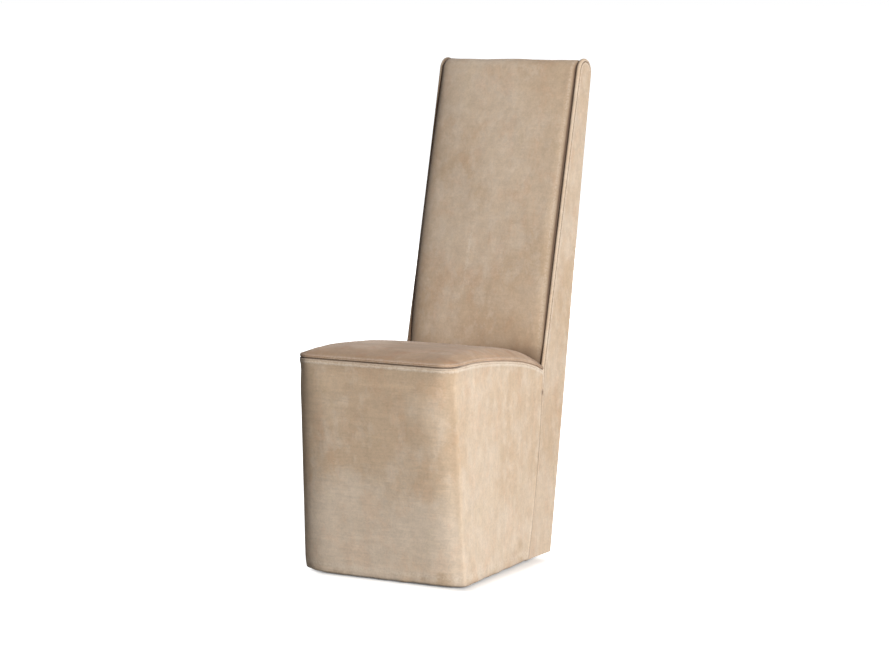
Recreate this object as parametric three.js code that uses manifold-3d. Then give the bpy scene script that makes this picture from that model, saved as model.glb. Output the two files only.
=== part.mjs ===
// A dining chair upholstered all over in leather: a tall raked back between two cheek panels,
// a crowned seat, and a base that is skirted to just above the floor.
// Millimetres, +Z up. The chair faces -Y and is symmetric about x = 0.
// While it is built, y = 0 is the front of the seat. The finished group is moved back to stand
// on the middle of its depth.

import * as THREE from "three";
import { mergeVertices } from "three/addons/utils/BufferGeometryUtils.js";
import Module from "manifold-3d";

const wasm = await Module();
wasm.setup();

// Outside of the chair
const overall_height = 1139;
const seam_height = 490; // front seat seam above the floor
const seam_width = 402; // across the front at the seat seam
const floor_width = 418; // across the front at the floor
const back_width = 370;
const front_setback = 37; // foot of the front face behind the seat seam
const seat_depth = 453; // front of the seat to the back, at the seam
const rear_kick = 43; // rear face at the floor, behind the seat's rear edge
const side_seam_sweep = 76; // foot of the seam between skirt and cheek, ahead of that edge
const side_seam_bow = 14;
const seam_corner_radius = 36;
const floor_corner_radius = 26;
const back_front_rake = THREE.MathUtils.degToRad(14.1);
const back_rear_rake = THREE.MathUtils.degToRad(9.87);

// Seat top
const rear_drop = 57; // the side seam falls this much towards the back
const drop_start_y = 100;
const seat_crown = 24;
const edge_rise = 4; // rolled edge above the seam
const seam_draw = 2; // the seam is pulled in this much
const border_foot = 3; // border's foot above the foam's underside
const drop_power = 1.4;
const late_drop_share = 0.3; // of the drop, which comes just before the back
const late_drop_power = 6;
const crown_side_power = 4;
const crown_front_power = 6;

// Back
const pad_top_drop = 6; // pad's top below the cheeks' tops
const pad_radius_gain = 3.5; // pad's top roll is this much wider than the cheeks'
const pad_bulge = 12; // pad ahead of the line from its foot to its top roll
const pad_foot_power = 8; // how soon it swells above the seat
const pad_head_power = 3; // and how late it falls back at the top
const pad_edge_radius = 18; // rolled side of the pad, low down
const pad_edge_radius_top = 14;
const pad_tuck = 8; // leather runs back beside the pad
const pad_tail_radius = 3; // rolled side at the cover's rear end
const rear_recess = 1; // outside back below the cheeks' rear edges
const pad_tail = 14; // inside back cover below that centre, behind the crest rail

// Clearances and sheets
const gap = 0.3; // hard pieces that touch
const soft_gap = 0.5; // soft layers that touch
const seam_gap = 0.4;
const leather = 2;
const wadding = 5;
const base_pad = 10;
const hardboard = 3.2;
const plywood = 4.4;
const burlap = 1.2;
const dust_cloth = 1;
const cheek_roll = 2.5; // rounding of the cheek covers' edges

// Frame
const leg = 38;
const post_thickness = 30;
const post_depth_floor = 50;
const rail_thickness = 20;
const seat_rail_height = 60;
const base_rail_height = 40;
const back_rail_height = 55;
const seat_build = 38; // seat seam above the rails' top plane, at y = 0
const seat_build_rear = 33; // and at the seat's rear edge
const rear_rail_set_in = 4; // rear seat rail behind the posts' fronts
const back_rail_set_in = 2; // crest rail behind them, at the top
const lower_rail_lift = 15; // lower back rail's bottom above the front seat seam
const tenon = 20;
const short_tenon = 10;
const block_reach = 46;
const block_height = 40;
const screw_bite_share = 0.75; // of the rail's thickness
const screw_radius = 2;
const screw_head_radius = 4;
const screw_head = 2.5;
const screw_seat = 8; // block left under a screw's head

// Feet and hem
const hem_height = 3;
const hem_return = 20; // leather turned in under the frame
const hem_roll = 6;
const glide_radius = 9;
const glide_rim = 1.5;
const nail_radius = 1.2;
const nail_length = 10;
const dust_margin = 2;

// Springs and straps
const spring_count = 4;
const spring_spacing = 1.5;
const wire_radius = 1.7;
const clip_sheet = 1.2;
const clip_margin = 5; // strip's end short of the side of the deck
const clip_foot = 8;
const strap_width = 50;
const strap = 1.5;
const strap_count = 4;

// Distances that follow
const rail_top = seam_height - seat_build;
const rail_fall = rear_drop + seat_build_rear - seat_build;
const rear_floor_y = seat_depth + rear_kick;
const side_seam_floor_y = seat_depth - side_seam_sweep;
const frame_bottom = hem_height + leather + gap;
const frame_inset = leather + gap + base_pad + gap + hardboard + gap;
const rear_stack = rear_recess + leather + gap + hardboard + gap;
const cheek_return = rear_stack - leather - 2 * gap;
const foam_depth = leather + soft_gap + wadding + soft_gap;
const seat_rear_height = seam_height - rear_drop;
const wire_height = gap + clip_sheet + gap + wire_radius;
const burlap_height = wire_height + wire_radius + gap + clip_sheet + gap;
const seat_pad_height = burlap_height + burlap + soft_gap; // seat foam above the rails
const back_half = back_width / 2;
const board_outer = back_half - leather - gap;
const post_outer = board_outer - plywood - gap;
const post_inner = post_outer - post_thickness;
const pad_half = post_outer + gap - leather - soft_gap;

// How finely the soft pieces are divided
const corner_front_share = 0.8; // the front's flat, as a share of its run to the corners' middles
const corner_side_share = 0.1; // the corner's second half, as a share of a side's run
const front_shares = [-1, -0.93, -0.87, -0.8, -0.5, 0, 0.5, 0.8, 0.87, 0.93, 1];
const side_shares = [0, 0.033, 0.067, 0.1, 0.3, 0.5, 0.7, 0.8, 0.88, 0.94, 1];
const across_shares = [-1, -0.985, -0.97, -0.9, -0.8, -0.5, 0, 0.5, 0.8, 0.9, 0.97, 0.985, 1];
const along_shares = [0, 0.01, 0.02, 0.06, 0.14, 0.3, 0.5, 0.7, 0.8, 0.88, 0.94, 1];
const height_shares = [0, 0.25, 0.5, 0.75, 1];
const line_shares = [0, 0.07, 0.1, 0.15, 0.25, 0.4, 0.55, 0.7, 0.85, 1];
const miter_share = 0.7; // a layer's edge sinks this much of its depth at the seam
const over_share = 0.6; // the stuffing ends this far round the top roll
const crest_share = 0.24; // crest rail's top below the top roll's centre, of its radius
const post_seat_share = 0.634; // posts' depth at the seat, of the back's thickness there
const post_top_share = 0.61; // posts' depth at the top, of the pad's top radius
const middle_rail_share = 0.5; // middle back rail, between the lower and the crest rail
const arc_steps = 7;
const round_sides = 12;
const screw_sides = 8;
const wire_sides = 5;
const edge_angles = [30, 60, 90].map(THREE.MathUtils.degToRad);

const { lerp, clamp } = THREE.MathUtils;
const { sin, cos, tan, abs, sign, PI } = Math;

// Outline of the chair

function frontY(z) {
  return front_setback * (1 - z / seam_height);
}

function frontHalf(z) {
  return lerp(floor_width, seam_width, z / seam_height) / 2;
}

function cornerRadius(z) {
  return lerp(floor_corner_radius, seam_corner_radius, z / seam_height);
}

// Half the chair's width, which narrows from the front to the back.
function halfAt(y, z) {
  return lerp(frontHalf(z), back_half, (y - frontY(z)) / (seat_depth - frontY(z)));
}

function seamZ(y) {
  const share = clamp((y - drop_start_y) / (seat_depth - drop_start_y), 0, 1);
  const early_drop = (1 - late_drop_share) * share ** drop_power;
  return seam_height - rear_drop * (early_drop + late_drop_share * share ** late_drop_power);
}

// Front edge of the cheeks, inset square to itself.
function creaseY(z, inset = 0) {
  return seat_depth + (z - seat_rear_height) * tan(back_front_rake) + inset / cos(back_front_rake);
}

// Rear face, inset square to itself.
function rearY(z, inset = 0) {
  return rear_floor_y + z * tan(back_rear_rake) - inset / cos(back_rear_rake);
}

// Seam between the skirt and the cheek panel, from the floor up to the seat.
function sideSeamY(z) {
  const share = clamp(z / seat_rear_height, 0, 1);
  return lerp(side_seam_floor_y, seat_depth, share) + side_seam_bow * sin(PI * share);
}

// A point of the base's outline on the front, from -1 to 1 between the corners' middles.
function frontPoint(share, z, inset) {
  const radius = cornerRadius(z);
  const centre_y = frontY(z) + radius;
  const flat = halfAt(centre_y, z) - radius;
  if (abs(share) <= corner_front_share) {
    return [(share / corner_front_share) * flat, centre_y - radius + inset];
  }
  const angle = (((abs(share) - corner_front_share) / (1 - corner_front_share)) * PI) / 4;
  const arm = radius - inset;
  return [sign(share) * (flat + arm * sin(angle)), centre_y - arm * cos(angle)];
}

// A point of the right side's outline, from 0 at the corner's middle to 1 at rear_y.
function sidePoint(share, z, inset, rear_y) {
  const radius = cornerRadius(z);
  const centre_y = frontY(z) + radius;
  if (share < corner_side_share) {
    const angle = (PI / 4) * (1 + share / corner_side_share);
    const arm = radius - inset;
    return [halfAt(centre_y, z) - radius + arm * sin(angle), centre_y - arm * cos(angle)];
  }
  const straight_share = (share - corner_side_share) / (1 - corner_side_share);
  const y = lerp(centre_y, rear_y, straight_share);
  return [halfAt(y, z) - inset, y];
}

// Top plane of the seat rails.
function railTopZ(y) {
  return rail_top - (rail_fall * y) / seat_depth;
}

// Top roll of the back, touching both of the cheeks' long edges.
const cheek_taper = tan(back_rear_rake) - tan(back_front_rake);
const cheek_floor_width = rearY(0) - creaseY(0);
const cheek_radius =
  (cheek_floor_width + cheek_taper * overall_height) /
  (1 / cos(back_front_rake) + 1 / cos(back_rear_rake) + cheek_taper);
const cheek_centre_z = overall_height - cheek_radius;
const cheek_centre_y = rearY(cheek_centre_z, cheek_radius);

const pad_radius = cheek_radius + pad_radius_gain;
const pad_centre_z = overall_height - pad_top_drop - pad_radius;
const pad_centre_y = rearY(pad_centre_z, rear_recess + pad_radius);
const crest_top = pad_centre_z - crest_share * pad_radius;
const post_depth_seat = post_seat_share * (rearY(seat_rear_height) - seat_depth);
const post_depth_top = post_top_share * pad_radius;
const back_rail_thickness = post_depth_top - back_rail_set_in;
const lower_rail_z = seam_height + lower_rail_lift;
const middle_rail_z = lerp(lower_rail_z, crest_top - back_rail_height, middle_rail_share);
const strap_low_z = lower_rail_z + back_rail_height;
const strap_high_z = crest_top - back_rail_height;
const rear_cover_top =
  pad_centre_z - pad_radius * sin(back_rear_rake) - pad_tail - seam_gap;

// Posts

function postRearY(z) {
  return rearY(z, rear_stack);
}

function postFrontY(z) {
  if (z <= seat_rear_height) {
    return postRearY(z) - lerp(post_depth_floor, post_depth_seat, z / seat_rear_height);
  }
  const share = (z - seat_rear_height) / (crest_top - seat_rear_height);
  return postRearY(z) - lerp(post_depth_seat, post_depth_top, share);
}

function legOuterX(z) {
  return halfAt(frontY(z) + cornerRadius(z), z) - frame_inset;
}

function legFrontY(z) {
  return frontY(z) + frame_inset;
}

// Solids from points

function volumeOf(positions, index) {
  const [a, b, c] = [new THREE.Vector3(), new THREE.Vector3(), new THREE.Vector3()];
  let total = 0;
  for (let i = 0; i < index.length; i += 3) {
    a.fromArray(positions, 3 * index[i]);
    b.fromArray(positions, 3 * index[i + 1]);
    c.fromArray(positions, 3 * index[i + 2]);
    total += a.dot(b.cross(c));
  }
  return total;
}

// A geometry from points and quads, with its faces turned outwards.
function closedGeometry(points, quads, triangles = []) {
  const index = [...triangles.flat()];
  for (const [a, b, c, d] of quads) {
    index.push(a, b, c, a, c, d);
  }
  const positions = points.flat();
  if (volumeOf(positions, index) < 0) {
    index.reverse();
  }
  const geometry = new THREE.BufferGeometry();
  geometry.setAttribute("position", new THREE.Float32BufferAttribute(positions, 3));
  geometry.setIndex(index);
  return geometry;
}

// A closed sheet or slab between two grids of the same size, each grid[i][j] = [x, y, z].
function slab(outer, inner) {
  const rows = outer.length;
  const columns = outer[0].length;
  const at = (i, j, layer) => layer * rows * columns + i * columns + j;
  const quads = [];
  for (let i = 0; i < rows - 1; i++) {
    for (let j = 0; j < columns - 1; j++) {
      quads.push([at(i, j, 0), at(i + 1, j, 0), at(i + 1, j + 1, 0), at(i, j + 1, 0)]);
      quads.push([at(i, j, 1), at(i, j + 1, 1), at(i + 1, j + 1, 1), at(i + 1, j, 1)]);
    }
    const last = columns - 1;
    quads.push([at(i, 0, 0), at(i, 0, 1), at(i + 1, 0, 1), at(i + 1, 0, 0)]);
    quads.push([at(i, last, 0), at(i + 1, last, 0), at(i + 1, last, 1), at(i, last, 1)]);
  }
  for (let j = 0; j < columns - 1; j++) {
    const last = rows - 1;
    quads.push([at(0, j, 0), at(0, j + 1, 0), at(0, j + 1, 1), at(0, j, 1)]);
    quads.push([at(last, j, 0), at(last, j, 1), at(last, j + 1, 1), at(last, j + 1, 0)]);
  }
  return closedGeometry([...outer.flat(), ...inner.flat()], quads);
}

// A solid with eight corners. corner(i, j, k) gives one, with i, j and k 0 or 1 along x, y, z.
function block(corner) {
  const points = [];
  for (let n = 0; n < 8; n++) {
    points.push(corner(n & 1, (n >> 1) & 1, n >> 2));
  }
  const quads = [
    [0, 2, 3, 1],
    [4, 5, 7, 6],
    [0, 1, 5, 4],
    [2, 6, 7, 3],
    [0, 4, 6, 2],
    [1, 3, 7, 5],
  ];
  return closedGeometry(points, quads);
}

// A point in or beyond a block, by shares of its three sides.
function within(corner, i, j, k) {
  const point = new THREE.Vector3();
  for (let n = 0; n < 8; n++) {
    const [a, b, c] = [n & 1, (n >> 1) & 1, n >> 2];
    const weight = (a ? i : 1 - i) * (b ? j : 1 - j) * (c ? k : 1 - k);
    point.addScaledVector(new THREE.Vector3(...corner(a, b, c)), weight);
  }
  return point.toArray();
}

// An upright solid between two heights. sectionAt(z) gives its outline there as [x, y] points.
function prism(sectionAt, bottom, top) {
  const low = sectionAt(bottom);
  const high = sectionAt(top);
  const count = low.length;
  if (THREE.ShapeUtils.isClockWise(low.map(([x, y]) => new THREE.Vector2(x, y)))) {
    low.reverse();
    high.reverse();
  }
  const flat = low.map(([x, y]) => new THREE.Vector2(x, y));
  const faces = THREE.ShapeUtils.triangulateShape(flat, []);
  const triangles = [];
  for (const [a, b, c] of faces) {
    triangles.push([a, b, c], [count + c, count + b, count + a]);
  }
  const quads = low.map((_, n) => {
    const next = (n + 1) % count;
    return [next, n, count + n, count + next];
  });
  const levelled = (outline, z) => outline.map(([x, y]) => [x, y, z]);
  return closedGeometry([...levelled(low, bottom), ...levelled(high, top)], quads, triangles);
}

// An outline of [y, z] points, extruded across the chair from x0 to x1.
function extrudeAcross(outline, x0, x1, roll = 0) {
  const shape = new THREE.Shape(outline.map(([y, z]) => new THREE.Vector2(y, z)));
  const geometry = new THREE.ExtrudeGeometry(shape, {
    depth: x1 - x0 - 2 * roll,
    bevelEnabled: roll > 0,
    bevelThickness: roll,
    bevelSize: roll,
    bevelOffset: -roll,
    bevelSegments: 2,
  });
  const turn = new THREE.Matrix4().makeBasis(
    new THREE.Vector3(0, 1, 0),
    new THREE.Vector3(0, 0, 1),
    new THREE.Vector3(1, 0, 0),
  );
  return geometry.applyMatrix4(turn).translate(x0 + roll, 0, 0);
}

// Cutting and joining

function solidOf(geometry) {
  const bare = geometry.clone();
  bare.deleteAttribute("normal");
  bare.deleteAttribute("uv");
  const merged = mergeVertices(bare);
  return new wasm.Manifold(
    new wasm.Mesh({
      numProp: 3,
      vertProperties: merged.attributes.position.array,
      triVerts: new Uint32Array(merged.index.array),
    }),
  );
}

function geometryOf(solid) {
  const mesh = solid.getMesh();
  const geometry = new THREE.BufferGeometry();
  geometry.setAttribute("position", new THREE.BufferAttribute(mesh.vertProperties, 3));
  geometry.setIndex([...mesh.triVerts]);
  return geometry;
}

function cut(geometry, tools) {
  let solid = solidOf(geometry);
  for (const tool of tools) {
    solid = solid.subtract(solidOf(tool));
  }
  return geometryOf(solid);
}

function join(geometry, others) {
  let solid = solidOf(geometry);
  for (const other of others) {
    solid = solid.add(solidOf(other));
  }
  return geometryOf(solid);
}

// Finishes and the group

const finishes = {
  leather: { color: 0xd0ae8a, roughness: 0.85, metalness: 0 },
  beech: { color: 0xcaa273, roughness: 0.6, metalness: 0 },
  board: { color: 0x8a6444, roughness: 0.8, metalness: 0 },
  foam: { color: 0xe8dfb8, roughness: 0.95, metalness: 0 },
  wadding: { color: 0xf2f0ea, roughness: 1, metalness: 0 },
  cloth: { color: 0xb89a6c, roughness: 0.95, metalness: 0 },
  dust: { color: 0x1c1c1e, roughness: 0.95, metalness: 0 },
  steel: { color: 0x9a9c9f, roughness: 0.35, metalness: 1 },
};

const chair = new THREE.Group();

function add(name, geometry, finish) {
  geometry.computeVertexNormals();
  const mesh = new THREE.Mesh(geometry, new THREE.MeshStandardMaterial(finishes[finish]));
  mesh.name = name;
  chair.add(mesh);
}

const sides = [
  ["left", 1],
  ["right", -1],
];

// Rails: each is a block with a tongue that runs through it and out of both ends

// A tongue's place in its rail's section. Tongues that meet in a leg lie one above the other.
const middle_shares = [0.3, 0.7];
const outer_shares = [0.45, 0.75];
const low_shares = [0.1, 0.45];
const high_shares = [0.55, 0.9];

// along is 0 for a rail that runs along x and 1 for one that runs along y.
function railOf({ corner, along, depth, thickness_shares, height_shares }) {
  const origin = new THREE.Vector3(...corner(0, 0, 0));
  const size = [
    origin.distanceTo(new THREE.Vector3(...corner(1, 0, 0))),
    origin.distanceTo(new THREE.Vector3(...corner(0, 1, 0))),
    origin.distanceTo(new THREE.Vector3(...corner(0, 0, 1))),
  ];
  const shares = [thickness_shares, thickness_shares, height_shares];
  shares[along] = [-depth / size[along], 1 + depth / size[along]];
  const tongue = (grow) =>
    block((...ijk) => {
      const place = ijk.map((n, axis) => shares[axis][n] + ((2 * n - 1) * grow) / size[axis]);
      return within(corner, ...place);
    });
  return { body: join(block(corner), [tongue(0)]), mortise: tongue(gap) };
}

// A rail across the chair. faceY(z) is its front face, half_at(z) half its clear width.
function crossRail(faceY, halfWidthAt, topZ, height, thickness, depth) {
  const corner = (i, j, k) => {
    const z = topZ - (1 - k) * height;
    return [(2 * i - 1) * halfWidthAt(z), faceY(z) + j * thickness, z];
  };
  return railOf({
    corner, along: 0, depth, thickness_shares: middle_shares, height_shares: low_shares });
}

// Half the chair's width over the plumb outer faces of a pair of side rails.
function railHalf(y, top, height) {
  return Math.min(halfAt(y, top), halfAt(y, top - height)) - frame_inset;
}

// A rail down one side, from the front leg to the post. topAt(y) is its top.
function sideRail(side, topAt, height) {
  const endY = (j, z) => (j ? postFrontY(z) - gap : legFrontY(z) + leg + gap);
  const corner = (i, j, k) => {
    const top = topAt(j ? seat_depth : legFrontY(0) + leg);
    const z = top - (1 - k) * height;
    const half = railHalf(endY(j, top), top, height);
    return [side * (half - (1 - i) * rail_thickness), endY(j, z), z];
  };
  return railOf({
    corner, along: 1, depth: tenon, thickness_shares: outer_shares, height_shares: high_shares });
}

const legHalfClear = (z) => legOuterX(z) - leg - gap;
const postHalfClear = () => post_inner - gap;
const base_rail_top = frame_bottom + base_rail_height;
const rear_seat_face = (z) => postFrontY(z) + rear_rail_set_in;
const rear_seat_top = railTopZ(rear_seat_face(railTopZ(seat_depth)) + rail_thickness);
const front_seat_top = railTopZ(legFrontY(rail_top) + rail_thickness);

const cross_rails = {
  seat_rail_front: crossRail(
    legFrontY, legHalfClear, front_seat_top, seat_rail_height, rail_thickness, tenon),
  base_rail_front: crossRail(
    legFrontY, legHalfClear, base_rail_top, base_rail_height, rail_thickness, tenon),
  seat_rail_rear: crossRail(
    rear_seat_face, postHalfClear, rear_seat_top, seat_rail_height, rail_thickness, short_tenon),
  base_rail_rear: crossRail(
    (z) => postRearY(z) - rail_thickness,
    postHalfClear, base_rail_top, base_rail_height, rail_thickness, short_tenon),
  back_rail_lower: crossRail(
    postFrontY, postHalfClear,
    lower_rail_z + back_rail_height, back_rail_height, back_rail_thickness, short_tenon),
  back_rail_middle: crossRail(
    (z) => postRearY(z) - back_rail_thickness,
    postHalfClear,
    middle_rail_z + back_rail_height, back_rail_height, back_rail_thickness, short_tenon),
  crest_rail: crossRail(
    (z) => postRearY(z) - back_rail_thickness,
    postHalfClear, crest_top, back_rail_height, back_rail_thickness, short_tenon),
};

const side_rails = {};
for (const [name, side] of sides) {
  side_rails["seat_rail_" + name] = sideRail(side, railTopZ, seat_rail_height);
  side_rails["base_rail_" + name] = sideRail(side, () => base_rail_top, base_rail_height);
}

const mortises = [...Object.values(cross_rails), ...Object.values(side_rails)].map(
  (rail) => rail.mortise,
);

// Corner blocks and their screws

const screw_length = screw_seat + gap + screw_bite_share * rail_thickness;

// A screw's outline: its head's underside is at 0 and its point below.
function screwProfile(grow, head_reach) {
  const points = [
    [0, -screw_length - grow],
    [screw_radius + grow, -screw_length + screw_radius - grow],
    [screw_radius + grow, -grow],
    [screw_head_radius + grow, -grow],
    [screw_head_radius + grow, head_reach],
    [0, head_reach],
  ];
  return points.map(([radius, z]) => new THREE.Vector2(radius, z));
}

// A block's screw runs along y, into the rail. way is 1 where that is backwards.
function blockScrew(x, rail_face_y, way, z, grow, head_reach) {
  const screw = new THREE.LatheGeometry(screwProfile(grow, head_reach), screw_sides);
  if (way > 0) {
    screw.rotateX(PI);
  }
  return screw.translate(x, rail_face_y - way * screw_seat, z);
}

// Plan of a block in its corner. Front blocks are notched round the leg.
function frontBlockPlan(side, z) {
  const rail_y = legFrontY(z) + rail_thickness + gap;
  const leg_x = legOuterX(z) - leg - gap;
  const leg_y = legFrontY(z) + leg + gap;
  const far_y = leg_y + block_reach;
  const rail_x = railHalf(leg_y, railTopZ(leg_y), seat_rail_height) - rail_thickness - 2 * gap;
  const far_x = railHalf(far_y, railTopZ(far_y), seat_rail_height) - rail_thickness - 2 * gap;
  const plan = [
    [leg_x - block_reach, rail_y],
    [leg_x, rail_y],
    [leg_x, leg_y],
    [rail_x, leg_y],
    [far_x, far_y],
  ];
  return plan.map(([x, y]) => [side * x, y]);
}

function rearBlockPlan(side, z) {
  const rail_y = rear_seat_face(z) - gap;
  const rail_half = railHalf(rail_y, railTopZ(rail_y), seat_rail_height);
  const side_x = Math.min(post_inner, rail_half - rail_thickness - gap) - gap;
  const plan = [
    [side_x - block_reach, rail_y],
    [side_x, rail_y],
    [side_x, rail_y - block_reach],
  ];
  return plan.map(([x, y]) => [side * x, y]);
}

const block_drop = (seat_rail_height - block_height) / 2;
const front_block_top = railTopZ(legFrontY(rail_top) + leg + block_reach) - block_drop;
const rear_block_top = rear_seat_top - block_drop;
const rail_drills = [];
for (const [name, side] of sides) {
  const front_z = front_block_top - block_height / 2;
  const front_x = side * (legOuterX(front_z) - leg - block_reach / 2);
  const front_face = legFrontY(front_z) + rail_thickness + gap;
  const rear_z = rear_block_top - block_height / 2;
  const rear_x = side * (post_inner - block_reach / 2);
  const rear_face = rear_seat_face(rear_z) - gap;
  const front_drill = blockScrew(front_x, front_face, -1, front_z, gap, block_reach);
  const rear_drill = blockScrew(rear_x, rear_face, 1, rear_z, gap, block_reach);
  rail_drills.push(front_drill, rear_drill);
  const front_plan = (z) => frontBlockPlan(side, z);
  const rear_plan = (z) => rearBlockPlan(side, z);
  const front_block = prism(front_plan, front_block_top - block_height, front_block_top);
  const rear_block = prism(rear_plan, rear_block_top - block_height, rear_block_top);
  const front_screw = blockScrew(front_x, front_face, -1, front_z, 0, screw_head);
  const rear_screw = blockScrew(rear_x, rear_face, 1, rear_z, 0, screw_head);
  add("corner_block_front_" + name, cut(front_block, [front_drill]), "beech");
  add("corner_block_rear_" + name, cut(rear_block, [rear_drill]), "beech");
  add("block_screw_front_" + name, front_screw, "steel");
  add("block_screw_rear_" + name, rear_screw, "steel");
}

for (const [name, rail] of Object.entries({ ...cross_rails, ...side_rails })) {
  const drilled = name.startsWith("seat_rail_front") || name.startsWith("seat_rail_rear");
  add(name, drilled ? cut(rail.body, rail_drills) : rail.body, "beech");
}

// Glides

function glideProfile(grow) {
  const bottom = -frame_bottom;
  const points = [
    [0, bottom],
    [glide_radius - glide_rim, bottom],
    [glide_radius, bottom + glide_rim],
    [glide_radius, -gap],
    [nail_radius + grow, -gap],
    [nail_radius + grow, nail_length + grow],
    [0, nail_length + nail_radius + grow],
  ];
  return points.map(([radius, z]) => new THREE.Vector2(radius, z));
}

function glideAt(x, y, grow) {
  const glide = new THREE.LatheGeometry(glideProfile(grow), round_sides);
  return glide.rotateX(PI / 2).translate(x, y, frame_bottom);
}

// Legs and posts

function legSection(side, z) {
  const outer = legOuterX(z);
  const front = legFrontY(z);
  const arm = cornerRadius(z) - frame_inset;
  const section = [
    [outer - leg, front + leg],
    [outer - leg, front],
  ];
  for (let step = 0; step <= 4; step++) {
    const angle = (step / 4) * (PI / 2);
    section.push([outer - arm + arm * sin(angle), front + arm - arm * cos(angle)]);
  }
  section.push([outer, front + leg]);
  return section.map(([x, y]) => [side * x, y]);
}

for (const [name, side] of sides) {
  const front_x = side * (legOuterX(0) - leg / 2);
  const front_y = legFrontY(0) + leg / 2;
  const post_x = side * (post_inner + post_thickness / 2);
  const post_y = rearY(0, rear_recess) - hem_return - dust_margin - glide_radius;
  const leg_top = railTopZ(legFrontY(rail_top) + leg);
  const stick = prism((z) => legSection(side, z), frame_bottom, leg_top);
  const outline = [];
  for (const z of [frame_bottom, seat_rear_height, crest_top]) {
    outline.push([postFrontY(z), z]);
    outline.unshift([postRearY(z), z]);
  }
  const near = side * post_inner;
  const far = side * post_outer;
  const post = extrudeAcross(outline, Math.min(near, far), Math.max(near, far));
  add("front_leg_" + name, cut(stick, [...mortises, glideAt(front_x, front_y, gap)]), "beech");
  add("rear_post_" + name, cut(post, [...mortises, glideAt(post_x, post_y, gap)]), "beech");
  add("glide_front_" + name, glideAt(front_x, front_y, 0), "steel");
  add("glide_rear_" + name, glideAt(post_x, post_y, 0), "steel");
}

// Base: panels, pads and skirt

// A wall that follows the base's outline, between two insets.
// stations are functions (z, inset) => [x, y]; levels run up it, each a function of y to z.
function wall(stations, levelAt, shares, outer_inset, innerInsetAt) {
  const grid = (insetAt) =>
    stations.map((station, n) =>
      shares.map((share) => {
        const inset = insetAt(n);
        const rough_y = station(seat_rear_height, inset)[1];
        const z = levelAt(share, rough_y);
        return [...station(z, inset), z];
      }),
    );
  return slab(grid(() => outer_inset), grid(innerInsetAt));
}

const mirrored = (side, station) => (z, inset) => {
  const [x, y] = station(z, inset);
  return [side * x, y];
};
const frontStation = (share) => (z, inset) => frontPoint(share, z, inset);
const sideStation = (share, short) => (z, inset) =>
  sidePoint(share, z, inset, sideSeamY(z) - short);

const flat_shares = front_shares.filter((share) => abs(share) <= corner_front_share);
const turn_shares = front_shares.filter((share) => share >= corner_front_share);
const straight_shares = side_shares.filter((share) => share >= corner_side_share);
const pad_inset = leather + gap;
const panel_inset = pad_inset + base_pad + gap;
const pad_top_rise = seat_pad_height - soft_gap;
const pad_bottom = hem_height + hem_roll + gap;
const padLevel = (share, y) => lerp(pad_bottom, railTopZ(y) + pad_top_rise, share);
const panelLevel = (rise) => (share, y) => lerp(frame_bottom, railTopZ(y) + rise, share);

add(
  "base_pad_front",
  wall(
    flat_shares.map((share) => frontStation(share * (1 - gap / seam_width))),
    padLevel, height_shares, pad_inset, () => pad_inset + base_pad),
  "foam",
);
add(
  "skirt_panel_front",
  wall(
    flat_shares.map(frontStation),
    panelLevel(burlap_height), height_shares, panel_inset, () => panel_inset + hardboard),
  "board",
);
for (const [name, side] of sides) {
  const corner_stations = turn_shares.map((share) => frontStation(share));
  const side_stations = side_shares.slice(1).map((share) => sideStation(share, soft_gap));
  const stations = [...corner_stations, ...side_stations].map((at) => mirrored(side, at));
  const corner_count = corner_stations.length + side_shares.indexOf(corner_side_share) - 1;
  const innerAt = (n) => (n > 0 && n < corner_count ? frame_inset - gap : pad_inset + base_pad);
  add(
    "base_pad_" + name,
    wall(stations, padLevel, height_shares, pad_inset, innerAt),
    "foam",
  );
  const panel_stations = straight_shares
    .slice(1)
    .map((share) => mirrored(side, sideStation(share, soft_gap)));
  add(
    "skirt_panel_" + name,
    wall(
      panel_stations,
      panelLevel(0), height_shares, panel_inset, () => panel_inset + hardboard),
    "board",
  );
}

// The skirt goes round the front and both sides in one piece. Its hem turns in under the frame
// and its top is drawn in at the seat seam.
function skirtCover() {
  const side_list = side_shares.map((share) => sideStation(share, seam_gap / 2));
  const left = side_list.slice(1).reverse().map((at) => mirrored(-1, at));
  const stations = [...left, ...front_shares.map(frontStation), ...side_list.slice(1)];
  const grid = (depth) =>
    stations.map((station) => {
      const top = seamZ(station(seat_rear_height, 0)[1]) - seam_gap - miter_share * depth;
      const shoulder = top - edge_rise - hem_roll;
      const hem = hem_height + depth;
      const profile = [
        [hem_return, hem],
        [hem_roll, hem],
        [depth, hem_height + hem_roll],
        ...height_shares.slice(1).map((share) => [depth, lerp(hem_height + hem_roll, shoulder, share)]),
        [depth + seam_draw, top],
      ];
      return profile.map(([inset, z]) => [...station(z, inset), z]);
    });
  return slab(grid(0), grid(leather));
}
add("skirt_cover", skirtCover(), "leather");

// Seat

// A point of the seat's plan, spread between the four sides of its outline.
function seatPlan(s, t, inset, z) {
  const rear_y = seat_depth - soft_gap;
  const front = frontPoint(s, z, inset);
  const side = sidePoint(t, z, inset, rear_y);
  const front_corner = frontPoint(1, z, inset);
  const rear_corner = sidePoint(1, z, inset, rear_y);
  const x =
    (1 - t) * front[0] + t * s * rear_corner[0] + s * side[0] -
    s * ((1 - t) * front_corner[0] + t * rear_corner[0]);
  const y =
    (1 - t) * front[1] + t * rear_y + side[1] - (1 - t) * front_corner[1] - t * rear_corner[1];
  return [x, y];
}

const last_across = across_shares.length - 1;
const deck_slope = Math.atan2(rail_fall, seat_depth);

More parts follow.
